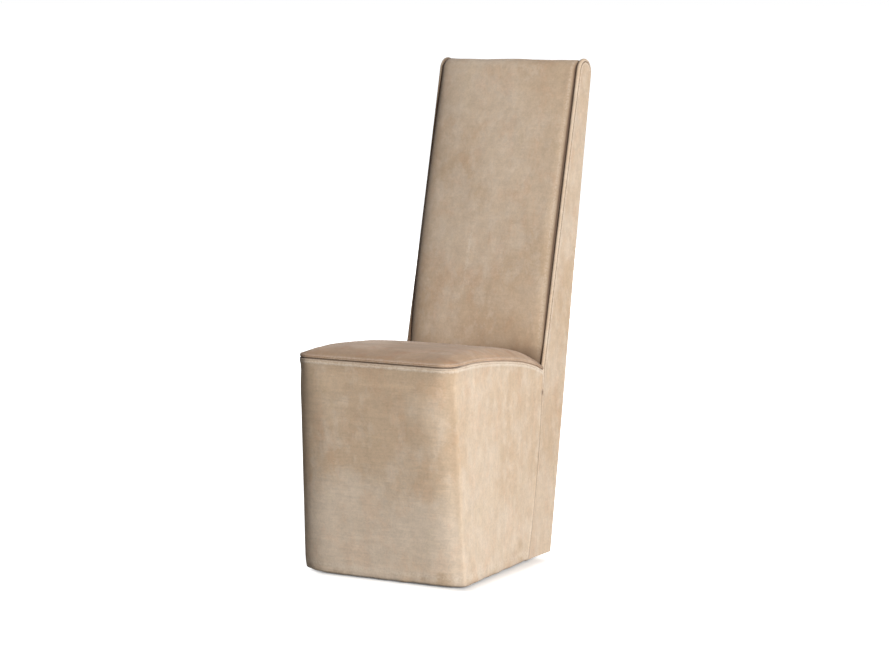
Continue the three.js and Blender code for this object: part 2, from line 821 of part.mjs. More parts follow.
// A point of the seat's top, at a depth below the leather. The outermost rings are the foot of
// the border, the seam and the rolled edge.
function seatPoint(i, j, depth) {
  const ring_across = Math.min(i, last_across - i);
  const ring = Math.min(ring_across, j);
  let s = across_shares[i];
  let t = along_shares[j];
  if (ring < 3 && ring_across <= j) {
    s = sign(s);
  } else if (ring < 3) {
    t = 0;
  }
  const inset = depth + (ring === 1 ? seam_draw : 0);
  const crown = (1 - abs(s) ** crown_side_power) * (1 - (1 - t) ** crown_front_power);
  const heightAt = [
    (y) => railTopZ(y) + seat_pad_height + border_foot,
    (y) => seamZ(y) - miter_share * depth,
    (y) => seamZ(y) + edge_rise - miter_share * depth,
    (y) => seamZ(y) + edge_rise + seat_crown * crown - depth,
  ][Math.min(ring, 3)];
  return leanedPoint(s, t, inset, heightAt);
}

// The seat's rear side leans with the front of the back.
function leanedPoint(s, t, inset, heightAt) {
  const rough_z = heightAt(seatPlan(s, t, inset, seam_height)[1]);
  const [x, y] = seatPlan(s, t, inset, Math.min(rough_z, seam_height));
  const leaned_y = y + t * t * (rough_z - seat_rear_height) * tan(back_front_rake);
  return [x, leaned_y, heightAt(leaned_y)];
}

function deckPoint(i, j) {
  const heightAt = (y) => railTopZ(y) + seat_pad_height;
  return leanedPoint(across_shares[i], along_shares[j], foam_depth, heightAt);
}

// The grid of one seat layer, from its first ring on.
function seatGrid(pointAt, first_ring) {
  const rows = across_shares.map((_, i) => i).slice(first_ring, last_across + 1 - first_ring);
  const columns = along_shares.map((_, j) => j).slice(first_ring);
  return rows.map((i) => columns.map((j) => pointAt(i, j)));
}

const seatLayer = (depth, first_ring) => seatGrid((i, j) => seatPoint(i, j, depth), first_ring);
add("seat_foam", slab(seatLayer(foam_depth, 0), seatGrid(deckPoint, 0)), "foam");
add(
  "seat_wadding",
  slab(seatLayer(leather + soft_gap, 0), seatLayer(leather + soft_gap + wadding, 0)),
  "wadding",
);
add("seat_cover", slab(seatLayer(0, 1), seatLayer(leather, 1)), "leather");

// The burlap lies over the springs, from the front rail to the rear rail.
function burlapDeck() {
  const front_y = legFrontY(front_seat_top);
  const post_y = postFrontY(rear_seat_top) - gap;
  const rear_y = rear_seat_face(rear_seat_top) + rail_thickness;
  const front_half = halfAt(front_y, seam_height) - seam_corner_radius;
  const leg_y = front_y + leg;
  const plan = [
    [front_half, front_y],
    [halfAt(leg_y, seam_height) - frame_inset - rail_thickness / 2, leg_y],
    [halfAt(post_y, seam_height) - frame_inset - rail_thickness / 2, post_y],
    [post_inner - gap, post_y],
    [post_inner - gap, rear_y],
  ];
  const outline = [...plan, ...plan.map(([x, y]) => [-x, y]).reverse()];
  return prism(() => outline.map(([x, y]) => [x, y - front_y]), 0, burlap)
    .rotateX(-deck_slope)
    .translate(0, front_y, railTopZ(front_y) + burlap_height);
}
add("seat_burlap", burlapDeck(), "cloth");

// Springs: flat zigzags of round wire, held in a folded strip of steel at each end

const spring_front_y = legFrontY(front_seat_top) + rail_thickness / 2;
const spring_rear_y = rear_seat_face(rear_seat_top) + rail_thickness / 2;

const deck_half = Math.min(
  halfAt(spring_front_y, seam_height) - frame_inset - rail_thickness,
  halfAt(spring_rear_y, seam_height) - frame_inset - rail_thickness,
  post_inner - gap,
);
const bend_reach_share = 1.5; // a bend's tip from the spring's middle, of half a bar
const spring_half = deck_half / spring_count - spring_spacing / 2;
const half_bar = (spring_half - wire_radius) / bend_reach_share;
const spring_run = (spring_rear_y - spring_front_y) / cos(deck_slope);
const spring_turns = Math.round(spring_run / (2 * sin(PI / 3) * half_bar));
const pitch = spring_run / spring_turns;

function springGeometry(x) {
  const points = [];
  for (let bar = 0; bar <= spring_turns; bar++) {
    const way = bar % 2 ? -1 : 1;
    const y = bar * pitch;
    points.push([-way * half_bar, y], [0, y], [way * half_bar, y]);
    if (bar < spring_turns) {
      points.push([way * bend_reach_share * half_bar, y + pitch / 2]);
    }
  }
  const path = new THREE.CurvePath();
  for (let n = 1; n < points.length; n++) {
    path.add(
      new THREE.LineCurve3(
        new THREE.Vector3(...points[n - 1], 0),
        new THREE.Vector3(...points[n], 0),
      ),
    );
  }
  const section = new THREE.Shape();
  for (let n = 0; n < wire_sides; n++) {
    const angle = (2 * PI * n) / wire_sides;
    const place = [wire_radius * cos(angle), wire_radius * sin(angle)];
    n ? section.lineTo(...place) : section.moveTo(...place);
  }
  const wire = new THREE.ExtrudeGeometry(section, {
    steps: points.length - 1,
    extrudePath: path,
    bevelEnabled: false,
  });
  return wire
    .translate(0, 0, wire_height)
    .rotateX(-deck_slope)
    .translate(x, spring_front_y, railTopZ(spring_front_y));
}

// A strip of clips has a foot on the rail and a hook over the springs' end wires.
function clipStrip(half_length, y, way) {
  const hold = wire_radius + gap;
  const profile = [
    [-hold - clip_sheet, 0],
    [hold + clip_foot, 0],
    [hold + clip_foot, clip_sheet],
    [-hold, clip_sheet],
    [-hold, clip_sheet + 2 * hold],
    [hold, clip_sheet + 2 * hold],
    [hold, 2 * clip_sheet + 2 * hold],
    [-hold - clip_sheet, 2 * clip_sheet + 2 * hold],
  ];
  const outline = profile.map(([along, up]) => [way * along, up + gap]);
  return extrudeAcross(outline, -half_length, half_length)
    .rotateX(-deck_slope)
    .translate(0, y, railTopZ(y));
}

for (let n = 0; n < spring_count; n++) {
  const x = deck_half * ((2 * n + 1) / spring_count - 1);
  add("seat_spring_" + (n + 1), springGeometry(x), "steel");
}
const strip_half = deck_half - clip_margin;
add("clip_strip_front", clipStrip(strip_half, spring_front_y, 1), "steel");
add("clip_strip_rear", clipStrip(strip_half, spring_rear_y, -1), "steel");

// Back

// The pad's profile from its foot up the front, over the top and a little way down behind.
// Each point has its inward normal and the radius of the pad's rolled side there.
function padProfile() {
  const foot_z = railTopZ(seat_depth - seam_draw) + seat_pad_height + soft_gap;
  const foot_y = creaseY(foot_z, soft_gap);
  const to_centre = new THREE.Vector2(pad_centre_y - foot_y, pad_centre_z - foot_z);
  const lean = to_centre.angle() + Math.asin(pad_radius / to_centre.length());
  const run = Math.sqrt(to_centre.lengthSq() - pad_radius ** 2);
  const front_inward = [sin(lean), -cos(lean)];
  const bulge_start = seat_rear_height + edge_rise + seat_crown;
  const points = [];
  for (const share of line_shares) {
    const z = foot_z + share * run * sin(lean);
    const y = foot_y + share * run * cos(lean);
    const rise = clamp((z - bulge_start) / (pad_centre_z - bulge_start), 0, 1);
    const bulge = pad_bulge * (1 - (1 - rise) ** pad_foot_power) * (1 - rise ** pad_head_power);
    points.push({
      y: y - bulge * front_inward[0],
      z: z - bulge * front_inward[1],
      inward: share > 0 ? front_inward : [1, 0],
      radius: lerp(pad_edge_radius, pad_edge_radius_top, rise),
      turn: 0,
      tuck: pad_tuck,
    });
  }
  const start = lean + PI / 2;
  const stop = -back_rear_rake;
  for (let step = 1; step <= arc_steps; step++) {
    const turn = step / arc_steps;
    const angle = lerp(start, stop, turn);
    const inward = [-cos(angle), -sin(angle)];
    const ending = clamp((turn - over_share) / (1 - over_share), 0, 1);
    points.push({
      y: pad_centre_y - pad_radius * inward[0],
      z: pad_centre_z - pad_radius * inward[1],
      inward,
      radius: lerp(pad_edge_radius_top, pad_tail_radius, ending),
      turn,
      tuck: pad_tuck * (1 - ending),
    });
  }
  const last = points[points.length - 1];
  const tail_y = last.y - pad_tail * tan(back_rear_rake);
  points.push({ ...last, y: tail_y, z: last.z - pad_tail });
  return points;
}

const pad_profile = padProfile();
const stuffed_profile = pad_profile.filter((place) => place.turn <= over_share);
const flat_across_shares = [-1, -0.5, 0, 0.5, 1];

// Places across the pad: a share of its flat, an angle round its rolled side, and 1 in the tuck.
function padStations(with_tuck) {
  const roll = [...edge_angles.map((angle) => [1, angle, 0])];
  if (with_tuck) {
    roll.push([1, PI / 2, 1]);
  }
  const left = roll.map(([share, angle, tucked]) => [-share, angle, tucked]).reverse();
  return [...left, ...flat_across_shares.map((share) => [share, 0, 0]), ...roll];
}

function padPoint([share, angle, tucked], place, depth) {
  const radius = place.radius;
  const x = share * (pad_half - radius) + sign(share) * (radius - depth) * sin(angle);
  const sink = radius - (radius - depth) * cos(angle) + tucked * place.tuck;
  return [x, place.y + sink * place.inward[0], place.z + sink * place.inward[1]];
}

function padGrid(profile, depth, with_tuck) {
  return padStations(with_tuck).map((station) =>
    profile.map((place) => padPoint(station, place, depth)),
  );
}

add(
  "inside_back_cover",
  slab(padGrid(pad_profile, 0, true), padGrid(pad_profile, leather, true)),
  "leather",
);
add(
  "back_wadding",
  slab(
    padGrid(stuffed_profile, leather + soft_gap, false),
    padGrid(stuffed_profile, leather + soft_gap + wadding, false)),
  "wadding",
);

// The foam stands on the straps and folds over the crest rail.
function backFoam() {
  const strap_stack = gap + strap + soft_gap;
  const top_z = crest_top + soft_gap;
  const front_top_y = postFrontY(crest_top) - strap_stack;
  const rear = padStations(false).map((station) =>
    stuffed_profile.map((place) => {
      const x = padPoint(station, place, foam_depth)[0];
      if (!place.turn) {
        const z = Math.min(place.z, top_z);
        return [x, postFrontY(Math.min(z, crest_top)) - strap_stack, z];
      }
      const share = place.turn / over_share;
      return [x, lerp(front_top_y, pad_centre_y + crest_share * pad_radius, share), top_z];
    }),
  );
  return slab(padGrid(stuffed_profile, foam_depth, false), rear);
}
add("back_foam", backFoam(), "foam");

for (let n = 0; n < strap_count; n++) {
  const centre_z = lerp(strap_low_z, strap_high_z, (n + 1 / 2) / strap_count);
  const strap_body = block((i, j, k) => {
    const z = centre_z + (k - 1 / 2) * strap_width;
    return [(2 * i - 1) * pad_half, postFrontY(z) - gap - (1 - j) * strap, z];
  });
  add("back_strap_" + (n + 1), strap_body, "cloth");
}

// Outside back: a board on the posts and a leather cover with a hem under the rear rail

const rear_half = post_outer + gap - leather - gap;
const panel_outline = [
  [rearY(frame_bottom, rear_stack - gap), frame_bottom],
  [rearY(frame_bottom, rear_stack - gap - hardboard), frame_bottom],
  [rearY(rear_cover_top, rear_stack - gap - hardboard), rear_cover_top],
  [rearY(rear_cover_top, rear_stack - gap), rear_cover_top],
];
add("outside_back_panel", extrudeAcross(panel_outline, -rear_half, rear_half), "board");

const hem_top = hem_height + leather;
const cover_outline = [
  [rearY(hem_height, rear_recess) - hem_return, hem_height],
  [rearY(hem_height, rear_recess), hem_height],
  [rearY(rear_cover_top, rear_recess), rear_cover_top],
  [rearY(rear_cover_top, rear_recess + leather), rear_cover_top],
  [rearY(hem_top, rear_recess + leather), hem_top],
  [rearY(hem_height, rear_recess) - hem_return, hem_top],
];
add("outside_back_cover", extrudeAcross(cover_outline, -rear_half, rear_half), "leather");

// Cheeks: a board outside each post, wrapped in leather that returns on its inner face

function cheekOutline(inset, bottom) {
  const points = [];
  for (const share of height_shares) {
    const z = lerp(bottom, seat_rear_height, share);
    points.push([sideSeamY(z) + seam_gap / 2 + inset, z]);
  }
  const arm = cheek_radius - inset;
  const start = PI - back_front_rake;
  for (let step = 0; step <= arc_steps; step++) {
    const angle = lerp(start, -back_rear_rake, step / arc_steps);
    points.push([cheek_centre_y + arm * cos(angle), cheek_centre_z + arm * sin(angle)]);
  }
  points.push([rearY(bottom, inset), bottom]);
  return points;
}

for (const [name, side] of sides) {
  const across = (outline, from, to, roll) => {
    const [a, b] = [side * from, side * to];
    return extrudeAcross(outline, Math.min(a, b), Math.max(a, b), roll);
  };
  const inner = post_outer + gap;
  const board = across(
    cheekOutline(leather + gap, frame_bottom), post_outer + gap, board_outer);
  const body = across(cheekOutline(0, hem_height), inner - leather, back_half, cheek_roll);
  const room = across(
    cheekOutline(leather, hem_height + leather), inner - gap / 2, back_half - leather);
  const window = across(
    cheekOutline(leather + cheek_return, -hem_return), inner - 2 * leather, inner);
  add("cheek_board_" + name, board, "board");
  add("cheek_cover_" + name, cut(body, [room, window]), "leather");
}

// The dust cover is notched round the legs and posts.
function dustCover() {
  const z = frame_bottom;
  const front = legFrontY(z) + hem_return - frame_inset + leather + dust_margin;
  const leg_x = legOuterX(z) - leg - dust_margin;
  const leg_y = legFrontY(z) + leg + dust_margin;
  const side_front = halfAt(leg_y, z) - hem_return - dust_margin;
  const side_rear = post_inner - dust_margin;
  const post_y = postFrontY(z) - dust_margin;
  const rear = rearY(z, rear_recess) - hem_return - dust_margin;
  const half = [
    [leg_x, front],
    [leg_x, leg_y],
    [side_front, leg_y],
    [side_rear + dust_margin, post_y],
    [side_rear, post_y],
    [side_rear, rear],
  ];
  const outline = [...half, ...half.map(([x, y]) => [-x, y]).reverse()];
  const shape = new THREE.Shape(outline.map(([x, y]) => new THREE.Vector2(x, y)));
  const sheet = new THREE.ExtrudeGeometry(shape, { depth: dust_cloth, bevelEnabled: false });
  return sheet.translate(0, 0, frame_bottom - gap - dust_cloth);
}
add("dust_cover", dustCover(), "dust");

const bounds = new THREE.Box3().setFromObject(chair);
chair.position.y = -(bounds.min.y + bounds.max.y) / 2;
chair.position.z = -bounds.min.z;

export default chair;
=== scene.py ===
import math
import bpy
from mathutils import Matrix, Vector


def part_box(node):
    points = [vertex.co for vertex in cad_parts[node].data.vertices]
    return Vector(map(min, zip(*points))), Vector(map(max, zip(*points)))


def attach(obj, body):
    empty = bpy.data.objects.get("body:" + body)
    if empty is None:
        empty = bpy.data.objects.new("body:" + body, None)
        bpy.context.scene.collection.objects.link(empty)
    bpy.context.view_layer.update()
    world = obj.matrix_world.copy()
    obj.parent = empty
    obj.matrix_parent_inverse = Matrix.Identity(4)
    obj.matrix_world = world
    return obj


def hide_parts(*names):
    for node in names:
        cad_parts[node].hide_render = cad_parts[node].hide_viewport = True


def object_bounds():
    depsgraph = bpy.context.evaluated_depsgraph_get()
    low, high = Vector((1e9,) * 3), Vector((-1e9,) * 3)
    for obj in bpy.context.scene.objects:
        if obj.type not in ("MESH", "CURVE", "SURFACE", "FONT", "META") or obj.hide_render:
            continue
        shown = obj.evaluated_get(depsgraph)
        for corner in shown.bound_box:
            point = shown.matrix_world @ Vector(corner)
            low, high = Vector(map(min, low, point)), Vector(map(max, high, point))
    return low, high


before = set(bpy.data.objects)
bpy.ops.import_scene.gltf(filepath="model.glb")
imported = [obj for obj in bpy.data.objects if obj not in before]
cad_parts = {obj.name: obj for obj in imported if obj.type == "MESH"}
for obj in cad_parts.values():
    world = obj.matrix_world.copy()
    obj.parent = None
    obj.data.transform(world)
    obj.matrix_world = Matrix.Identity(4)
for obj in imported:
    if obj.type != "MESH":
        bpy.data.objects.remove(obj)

import types

import bpy
import numpy as np
from mathutils import Vector, noise

bl_info = {
    "name": "Leather parsons chair",
    "version": (1, 0, 0),
    "blender": (4, 5, 0),
    "location": "View3D > Sidebar > Chair",
    "description": "Builds the covers, stuffing, stitching and stage of a fully upholstered chair",
    "category": "Object",
}

CAD_BOX = [list(corner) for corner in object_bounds()]
BODY = "root"

# The foot of the chair as a rounded rectangle, round which the floor grows whiter. Close to it the floor
# glows less for the camera, so the real shadow shows and the floor is also painted greyer there, as a
# contact shadow.
FOOT_MIDDLE = (0.0315, -0.12, 0.0)
FOOT_HALF = (0.1685, 0.17, 1.0)
FLOOR_FAR_AT = 0.08

FOAM_NODES = ("seat_foam", "back_foam", "base_pad_front", "base_pad_left", "base_pad_right")
WADDING_NODES = ("seat_wadding", "back_wadding")
FOAM_VOXEL = 0.006
FOAM_SLACK = 0.0022
WADDING_SLACK = 0.0022
CLOTH_SLACK = 0.0002

CLOTH_FRAMES = 20
CLOTH_QUALITY = 5
CLOTH_SPARE = -0.004

# Tan marks on the base, each a stain but for one patch of painted shade: middle (y from the front of the
# seat seam), radius and strength.
STAINS_AND_SHADE = (
    ((0.192, 0.335, 0.048), 0.013, 0.9), ((0.196, 0.300, 0.026), 0.014, 0.7),
    ((0.155, 0.034, 0.022), 0.012, 1.0), ((0.112, 0.034, 0.017), 0.009, 0.8),
    # The first patch on the next line is painted shade under a crumple of the seat seam, near the front
    # corner on the sitter's left
    ((0.135, -0.002, 0.458), 0.028, 0.9), ((0.185, 0.370, 0.110), 0.010, 0.4),
)

# Surface beside a seam: distance from the seam and height of the leather there, in metres.
SKIRT_SEAM = (
    (0.0200, 0.0), (0.0160, 0.0002), (0.0125, 0.0007), (0.0098, 0.0013), (0.0078, 0.0016),
    (0.0062, 0.0013), (0.0050, 0.0007), (0.0040, 0.0012), (0.0030, 0.0017), (0.0021, 0.0013),
    (0.0013, 0.0004), (0.0006, -0.0006), (0.0, -0.0014),
)
# The seat's edge above the same seam: inset and rise.
SEAT_SEAM = (
    (0.0014, 0.0), (0.0004, 0.0006), (-0.0007, 0.0014), (-0.0013, 0.0024), (-0.0012, 0.0034),
    (-0.0006, 0.0043), (-0.0008, 0.0052), (-0.0006, 0.0062), (0.0006, 0.0073), (0.0026, 0.0082),
)
SEAT_RINGS = len(SEAT_SEAM)
SKIRT_STITCH_DROP = 0.0050
SEAT_STITCH_RISE = 0.0043
EDGE_STITCH_INSET = 0.0075
EDGE_STITCH_FOOT = 0.392
PUCKER_HEIGHT = 0.381
PUCKER_INSET = 0.001
SKIRT_STITCH_LIFT, SEAT_STITCH_LIFT = 0.0006, 0.0004

# Seeds of the cloth and the wadding, and the number of straps
WADDING_SEED, BURLAP_SEED, STRAP_SEED, DUST_COVER_SEED = 7, 21, 30, 40
STRAPS = 4

# Shares of an outline's steps: those on the flat front, and those that turn the side's corner
FLAT_SHARE, TURN_SHARE = 0.8, 0.1
# Parts and powers of the seat seam's fall towards the back
SEAM_FALL = ((0.7, 1.4), (0.3, 6))
# Share of the height from which the cheeks' leather begins to stand out
FLARE_START = 0.6

# Directions in which sheets face
UP = np.array([(0.0, 0.0, 1.0)])
AHEAD = np.array([(0.0, -1.0, 0.0)])
BEHIND = np.array([(0.0, 1.0, 0.0)])

# Points of a solid that lie closer than this are one
LOOSE_GAP = 0.00001
TINY = 1e-9


# Sizes, colours and lamps that a user would change


def length(name, description, default):
    return bpy.props.FloatProperty(
        name=name, description=description, default=default, unit="LENGTH", precision=4
    )


def slope(name, description, degrees):
    return bpy.props.FloatProperty(
        name=name, description=description, default=math.radians(degrees), subtype="ANGLE"
    )


def tone(name, description, default):
    return bpy.props.FloatVectorProperty(
        name=name, description=description, default=default, min=0.0, max=1.0, subtype="COLOR"
    )


def amount(name, description, default, unit="NONE"):
    return bpy.props.FloatProperty(name=name, description=description, default=default, unit=unit)


class ChairSizes(bpy.types.PropertyGroup):
    """Outline of the chair, the same as the solids have"""

    overall_height: length("Height", "Floor to the tops of the cheeks", 1.139)
    seam_height: length("Seat seam", "Floor to the seat seam at the front", 0.490)
    seam_width: length("Seat width", "Across the front at the seat seam", 0.402)
    floor_width: length("Floor width", "Across the front at the floor", 0.418)
    back_width: length("Back width", "Across both cheeks", 0.370)
    front_setback: length("Front setback", "Foot of the front behind the seat seam", 0.037)
    seat_depth: length("Seat depth", "Front of the seat to the back", 0.453)
    rear_kick: length("Rear kick", "Rear face at the floor, behind the seat", 0.043)
    seam_sweep: length("Side seam sweep", "Foot of the side seam ahead of its top", 0.076)
    seam_bow: length("Side seam bow", "Bow of the side seam", 0.014)
    upper_corner: length("Upper corner", "Corner radius at the seat seam", 0.036)
    lower_corner: length("Lower corner", "Corner radius at the floor", 0.026)
    front_rake: slope("Front rake", "Lean of the cheeks' front edges", 14.1)
    rear_rake: slope("Rear rake", "Lean of the rear face", 9.87)
    rear_drop: length("Seam drop", "Fall of the seat seam towards the back", 0.057)
    drop_start: length("Drop start", "Where that fall begins", 0.100)
    filling: amount("Filling", "Pressure of the stuffing on the leather", 4.0)
    crown: length("Crown", "Rise of the seat's middle", 0.0225)
    dome_dip: length("Dome dip", "How much lower the sitter's right dome is", 0.0011)
    edge_rise: length("Edge rise", "Rise of the seat's rolled edge", 0.004)
    seat_build: length("Seat build", "Seat seam above the seat rails", 0.038)
    pad_height: length("Pad height", "Seat stuffing above the seat rails", 0.0087)
    rail_fall: length("Rail fall", "Fall of the seat rails towards the back", 0.052)
    front_crown: length("Front crown", "Swell of the base's front", 0.004)
    corner_width: length("Corner width", "How far a padded front corner reaches across", 0.085)
    corner_depth: amount("Corner depth", "Depth of a padded front corner over its radius", 0.82)
    pad_drop: length("Pad drop", "Top of the back pad below the cheeks", 0.006)
    pad_gain: length("Pad gain", "How much wider the pad's top roll is", 0.0035)
    pad_bulge: length("Pad bulge", "Swell of the inside back", 0.012)
    back_flare: length("Back flare", "How far the cheeks' leather stands out at the top", 0.0022)
    roll_low: length("Low roll", "Rolled side of the back pad at the seat", 0.018)
    roll_high: length("High roll", "Rolled side of the back pad at the top", 0.014)
    pad_crown: length("Pad crown", "Rise of the pad's middle over its sides", 0.005)
    pad_top: length("Pad top", "Rise of the pad's top over its solid", 0.0026)
    pad_top_middle: length("Pad top middle", "Further rise in the middle", 0.0012)
    pad_top_corner: length("Pad top corner", "Further rise at the sitter's right", 0.0004)
    roll_spread: amount("Roll spread", "Width of the pad's rolled side over its radius", 1.5)
    roll_depth: amount("Roll depth", "Depth of the pad's rolled side over its radius", 0.5)
    stitch_sink: length("Stitch sink", "How deep the cheek's stitches lie", 0.0011)
    tuck: length("Tuck", "Leather that runs back beside the pad", 0.008)
    tail: length("Tail", "Leather that runs down behind the top", 0.014)
    recess: length("Recess", "Outside back ahead of the cheeks' rear edges", 0.001)
    leather: length("Leather", "Thickness of the leather", 0.0012)
    seam_gap: length("Seam gap", "Gap between two covers", 0.0004)
    hem: length("Hem", "Hem above the floor", 0.003)
    hem_return: length("Hem return", "Leather turned in under the frame", 0.020)
    hem_roll: length("Hem roll", "Rounding of the hem", 0.006)


class ChairThread(bpy.types.PropertyGroup):
    """Thread and stitches"""

    pitch: length("Stitch pitch", "From one stitch to the next", 0.0042)
    stitch: length("Stitch length", "Part of a stitch that shows", 0.0032)
    thickness: length("Thread", "Thickness of the thread", 0.0007)
    tone: tone("Thread tone", "Colour of the thread", (0.27, 0.165, 0.095))


class LeatherTones(bpy.types.PropertyGroup):
    """Tones of the washed leather"""

    pale: tone("Pale", "Washed-out tone of the clouds", (0.80, 0.665, 0.53))
    middle: tone("Middle", "Most common tone", (0.72, 0.565, 0.415))
    tan: tone("Tan", "Warm tone of the clouds", (0.63, 0.455, 0.30))
    # Painted shade blends towards the deep tone as well
    deep: tone("Deep", "Tone of creases and seams", (0.13, 0.075, 0.042))
    worn: tone("Worn", "Rubbed tone of the ridges", (0.88, 0.77, 0.65))
    rosy: tone("Rosy", "Tint of the rosy clouds", (1.0, 0.93, 0.885))
    olive: tone("Olive", "Tint of the olive clouds", (0.945, 0.955, 0.89))


class InnerTones(bpy.types.PropertyGroup):
    """Tones of the frame, the stuffing and the cloth inside"""

    timber: tone("Timber", "Pale wood of the frame", (0.60, 0.40, 0.22))
    timber_rings: tone("Timber rings", "Darker rings of the wood", (0.42, 0.25, 0.12))
    board: tone("Board", "Pressed board and plywood", (0.40, 0.25, 0.13))
    board_flecks: tone("Board flecks", "Fibres of the board", (0.26, 0.15, 0.075))
    foam: tone("Foam", "Cut foam", (0.83, 0.76, 0.52))
    wadding: tone("Wadding", "Fibre wadding", (0.86, 0.86, 0.84))
    jute: tone("Jute", "Threads of the burlap and the webbing", (0.50, 0.36, 0.20))
    dust_cloth: tone("Dust cloth", "Black cloth under the frame", (0.03, 0.03, 0.032))
    wire: tone("Wire", "Oiled steel wire", (0.24, 0.24, 0.25))
    plated: tone("Plated steel", "Zinc on screws, strips and glides", (0.62, 0.61, 0.58))


class StudioLamps(bpy.types.PropertyGroup):
    """Lamps and surroundings"""

    key: amount("Key lamp", "Power of the lamp on the right", 740.0, "POWER")
    top: amount("Top lamp", "Power of the lamp overhead", 20.0, "POWER")
    rear: amount("Rear lamp", "Power of the lamp behind the chair", 260.0, "POWER")
    around: amount("Surroundings", "Strength of the light from all round", 0.055)
    # The lower glow near the chair paints a contact shadow on the floor
    floor_near: amount("Floor near", "What the floor under the chair adds for the camera", 0.10)
    floor_far: amount("Floor far", "What the floor further out adds for the camera", 1.0)


# Outline of the chair, with y from the front of the seat seam


def mix(a, b, share):
    return a + (b - a) * share


def clamp(value):
    return min(max(value, 0.0), 1.0)


def between(value, low, high):
    """0 up to the low end, 1 from the high one on, and evenly in between."""
    return clamp((value - low) / (high - low))


def powers(share, parts):
    """The sum of the parts, each times the share raised to the power given with it."""
    return sum(part * share**power for part, power in parts)


def steps(count, first=0):
    """Even shares of 1, from first / count up to 1."""
    return [k / count for k in range(first, count + 1)]


def each(shape, c, *values):
    """The shape's value at every point."""
    return np.array([shape(c, *spot) for spot in zip(*values)])


def sizes():
    """The chair's sizes, and what follows from them."""
    stored = bpy.context.scene.chair_sizes
    keys = [key for key in stored.bl_rna.properties.keys() if key not in ("rna_type", "name")]
    c = types.SimpleNamespace(**{key: getattr(stored, key) for key in keys})
    c.back_half = c.back_width / 2
    c.rear_height = c.seam_height - c.rear_drop
    c.tan_front = math.tan(c.front_rake)
    c.tan_rear = math.tan(c.rear_rake)
    c.front = CAD_BOX[0][1] - c.front_setback * c.seam_gap / c.seam_height
    c.pad_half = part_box("inside_back_cover")[1].x
    c.rear_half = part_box("outside_back_cover")[1].x
    c.cheek_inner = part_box("cheek_cover_left")[0].x
    taper = c.tan_rear - c.tan_front
    floor_width = rear_y(c, 0.0) - crease_y(c, 0.0)
    spread = 1 / math.cos(c.front_rake) + 1 / math.cos(c.rear_rake)
    c.cheek_radius = (floor_width + taper * c.overall_height) / (spread + taper)
    c.cheek_z = c.overall_height - c.cheek_radius
    c.cheek_y = rear_y(c, c.cheek_z, c.cheek_radius)
    c.pad_radius = c.cheek_radius + c.pad_gain
    c.pad_z = c.overall_height - c.pad_drop - c.pad_radius
    c.pad_y = rear_y(c, c.pad_z, c.recess + c.pad_radius)
    c.rear_top = c.pad_z - c.pad_radius * math.sin(c.rear_rake) - c.tail - c.seam_gap
    return c


def front_y(c, z):
    return c.front_setback * (1 - z / c.seam_height)


def corner_radius(c, z):
    return mix(c.lower_corner, c.upper_corner, z / c.seam_height)


def half_at(c, y, z):
    front = mix(c.floor_width, c.seam_width, z / c.seam_height) / 2
    return mix(front, c.back_half, (y - front_y(c, z)) / (c.seat_depth - front_y(c, z)))


def seam_z(c, y):
    return c.seam_height - c.rear_drop * powers(between(y, c.drop_start, c.seat_depth), SEAM_FALL)


def crease_y(c, z, inset=0.0):
    return c.seat_depth + (z - c.rear_height) * c.tan_front + inset / math.cos(c.front_rake)


def rear_y(c, z, inset=0.0):
    return c.seat_depth + c.rear_kick + z * c.tan_rear - inset / math.cos(c.rear_rake)


def side_seam_y(c, z):
    share = clamp(z / c.rear_height)
    return c.seat_depth - c.seam_sweep * (1 - share) + c.seam_bow * math.sin(math.pi * share)


def rail_top(c, y):
    return c.seam_height - c.seat_build - c.rail_fall * y / c.seat_depth


def front_point(c, share, z, inset):
    """A point of the base's outline in front, from -1 to 1 between the corners' middles."""
    radius = corner_radius(c, z)
    centre = front_y(c, z) + radius
    flat = half_at(c, centre, z) - radius
    if abs(share) <= FLAT_SHARE:
        return share / FLAT_SHARE * flat, centre - radius + inset
    turn = (abs(share) - FLAT_SHARE) / (1 - FLAT_SHARE) * math.pi / 4
    arm = radius - inset
    return math.copysign(flat + arm * math.sin(turn), share), centre - arm * math.cos(turn)


def side_point(c, share, z, inset, rear):
    """A point of the side's outline, from 0 at the corner's middle to 1 at the rear."""
    radius = corner_radius(c, z)
    centre = front_y(c, z) + radius
    if share < TURN_SHARE:
        turn = math.pi / 4 * (1 + share / TURN_SHARE)
        arm = radius - inset
        return half_at(c, centre, z) - radius + arm * math.sin(turn), centre - arm * math.cos(turn)
    y = mix(centre, rear, (share - TURN_SHARE) / (1 - TURN_SHARE))
    return half_at(c, y, z) - inset, y


def flare(c, x, z):
    """How far a cheek's leather stands out beyond its solid, towards the top of its outer face."""
    rise = between(z / c.overall_height, FLARE_START, 1.0)
    return c.back_flare * between(x, c.cheek_inner, c.back_half) * rise**2


# Modelling helpers


def deselect():
    if bpy.context.object and bpy.context.object.mode != "OBJECT":
        bpy.ops.object.mode_set(mode="OBJECT")
    bpy.ops.object.select_all(action="DESELECT")


def pick(*objects):
    deselect()
    for obj in objects:
        obj.select_set(True)
    bpy.context.view_layer.objects.active = objects[0]


def points_of(obj, what="co"):
    values = np.empty(len(obj.data.vertices) * 3)
    obj.data.vertices.foreach_get(what, values)
    return values.reshape(-1, 3)


def move_points(obj, points):
    obj.data.vertices.foreach_set("co", np.asarray(points, float).ravel())
    obj.data.update()


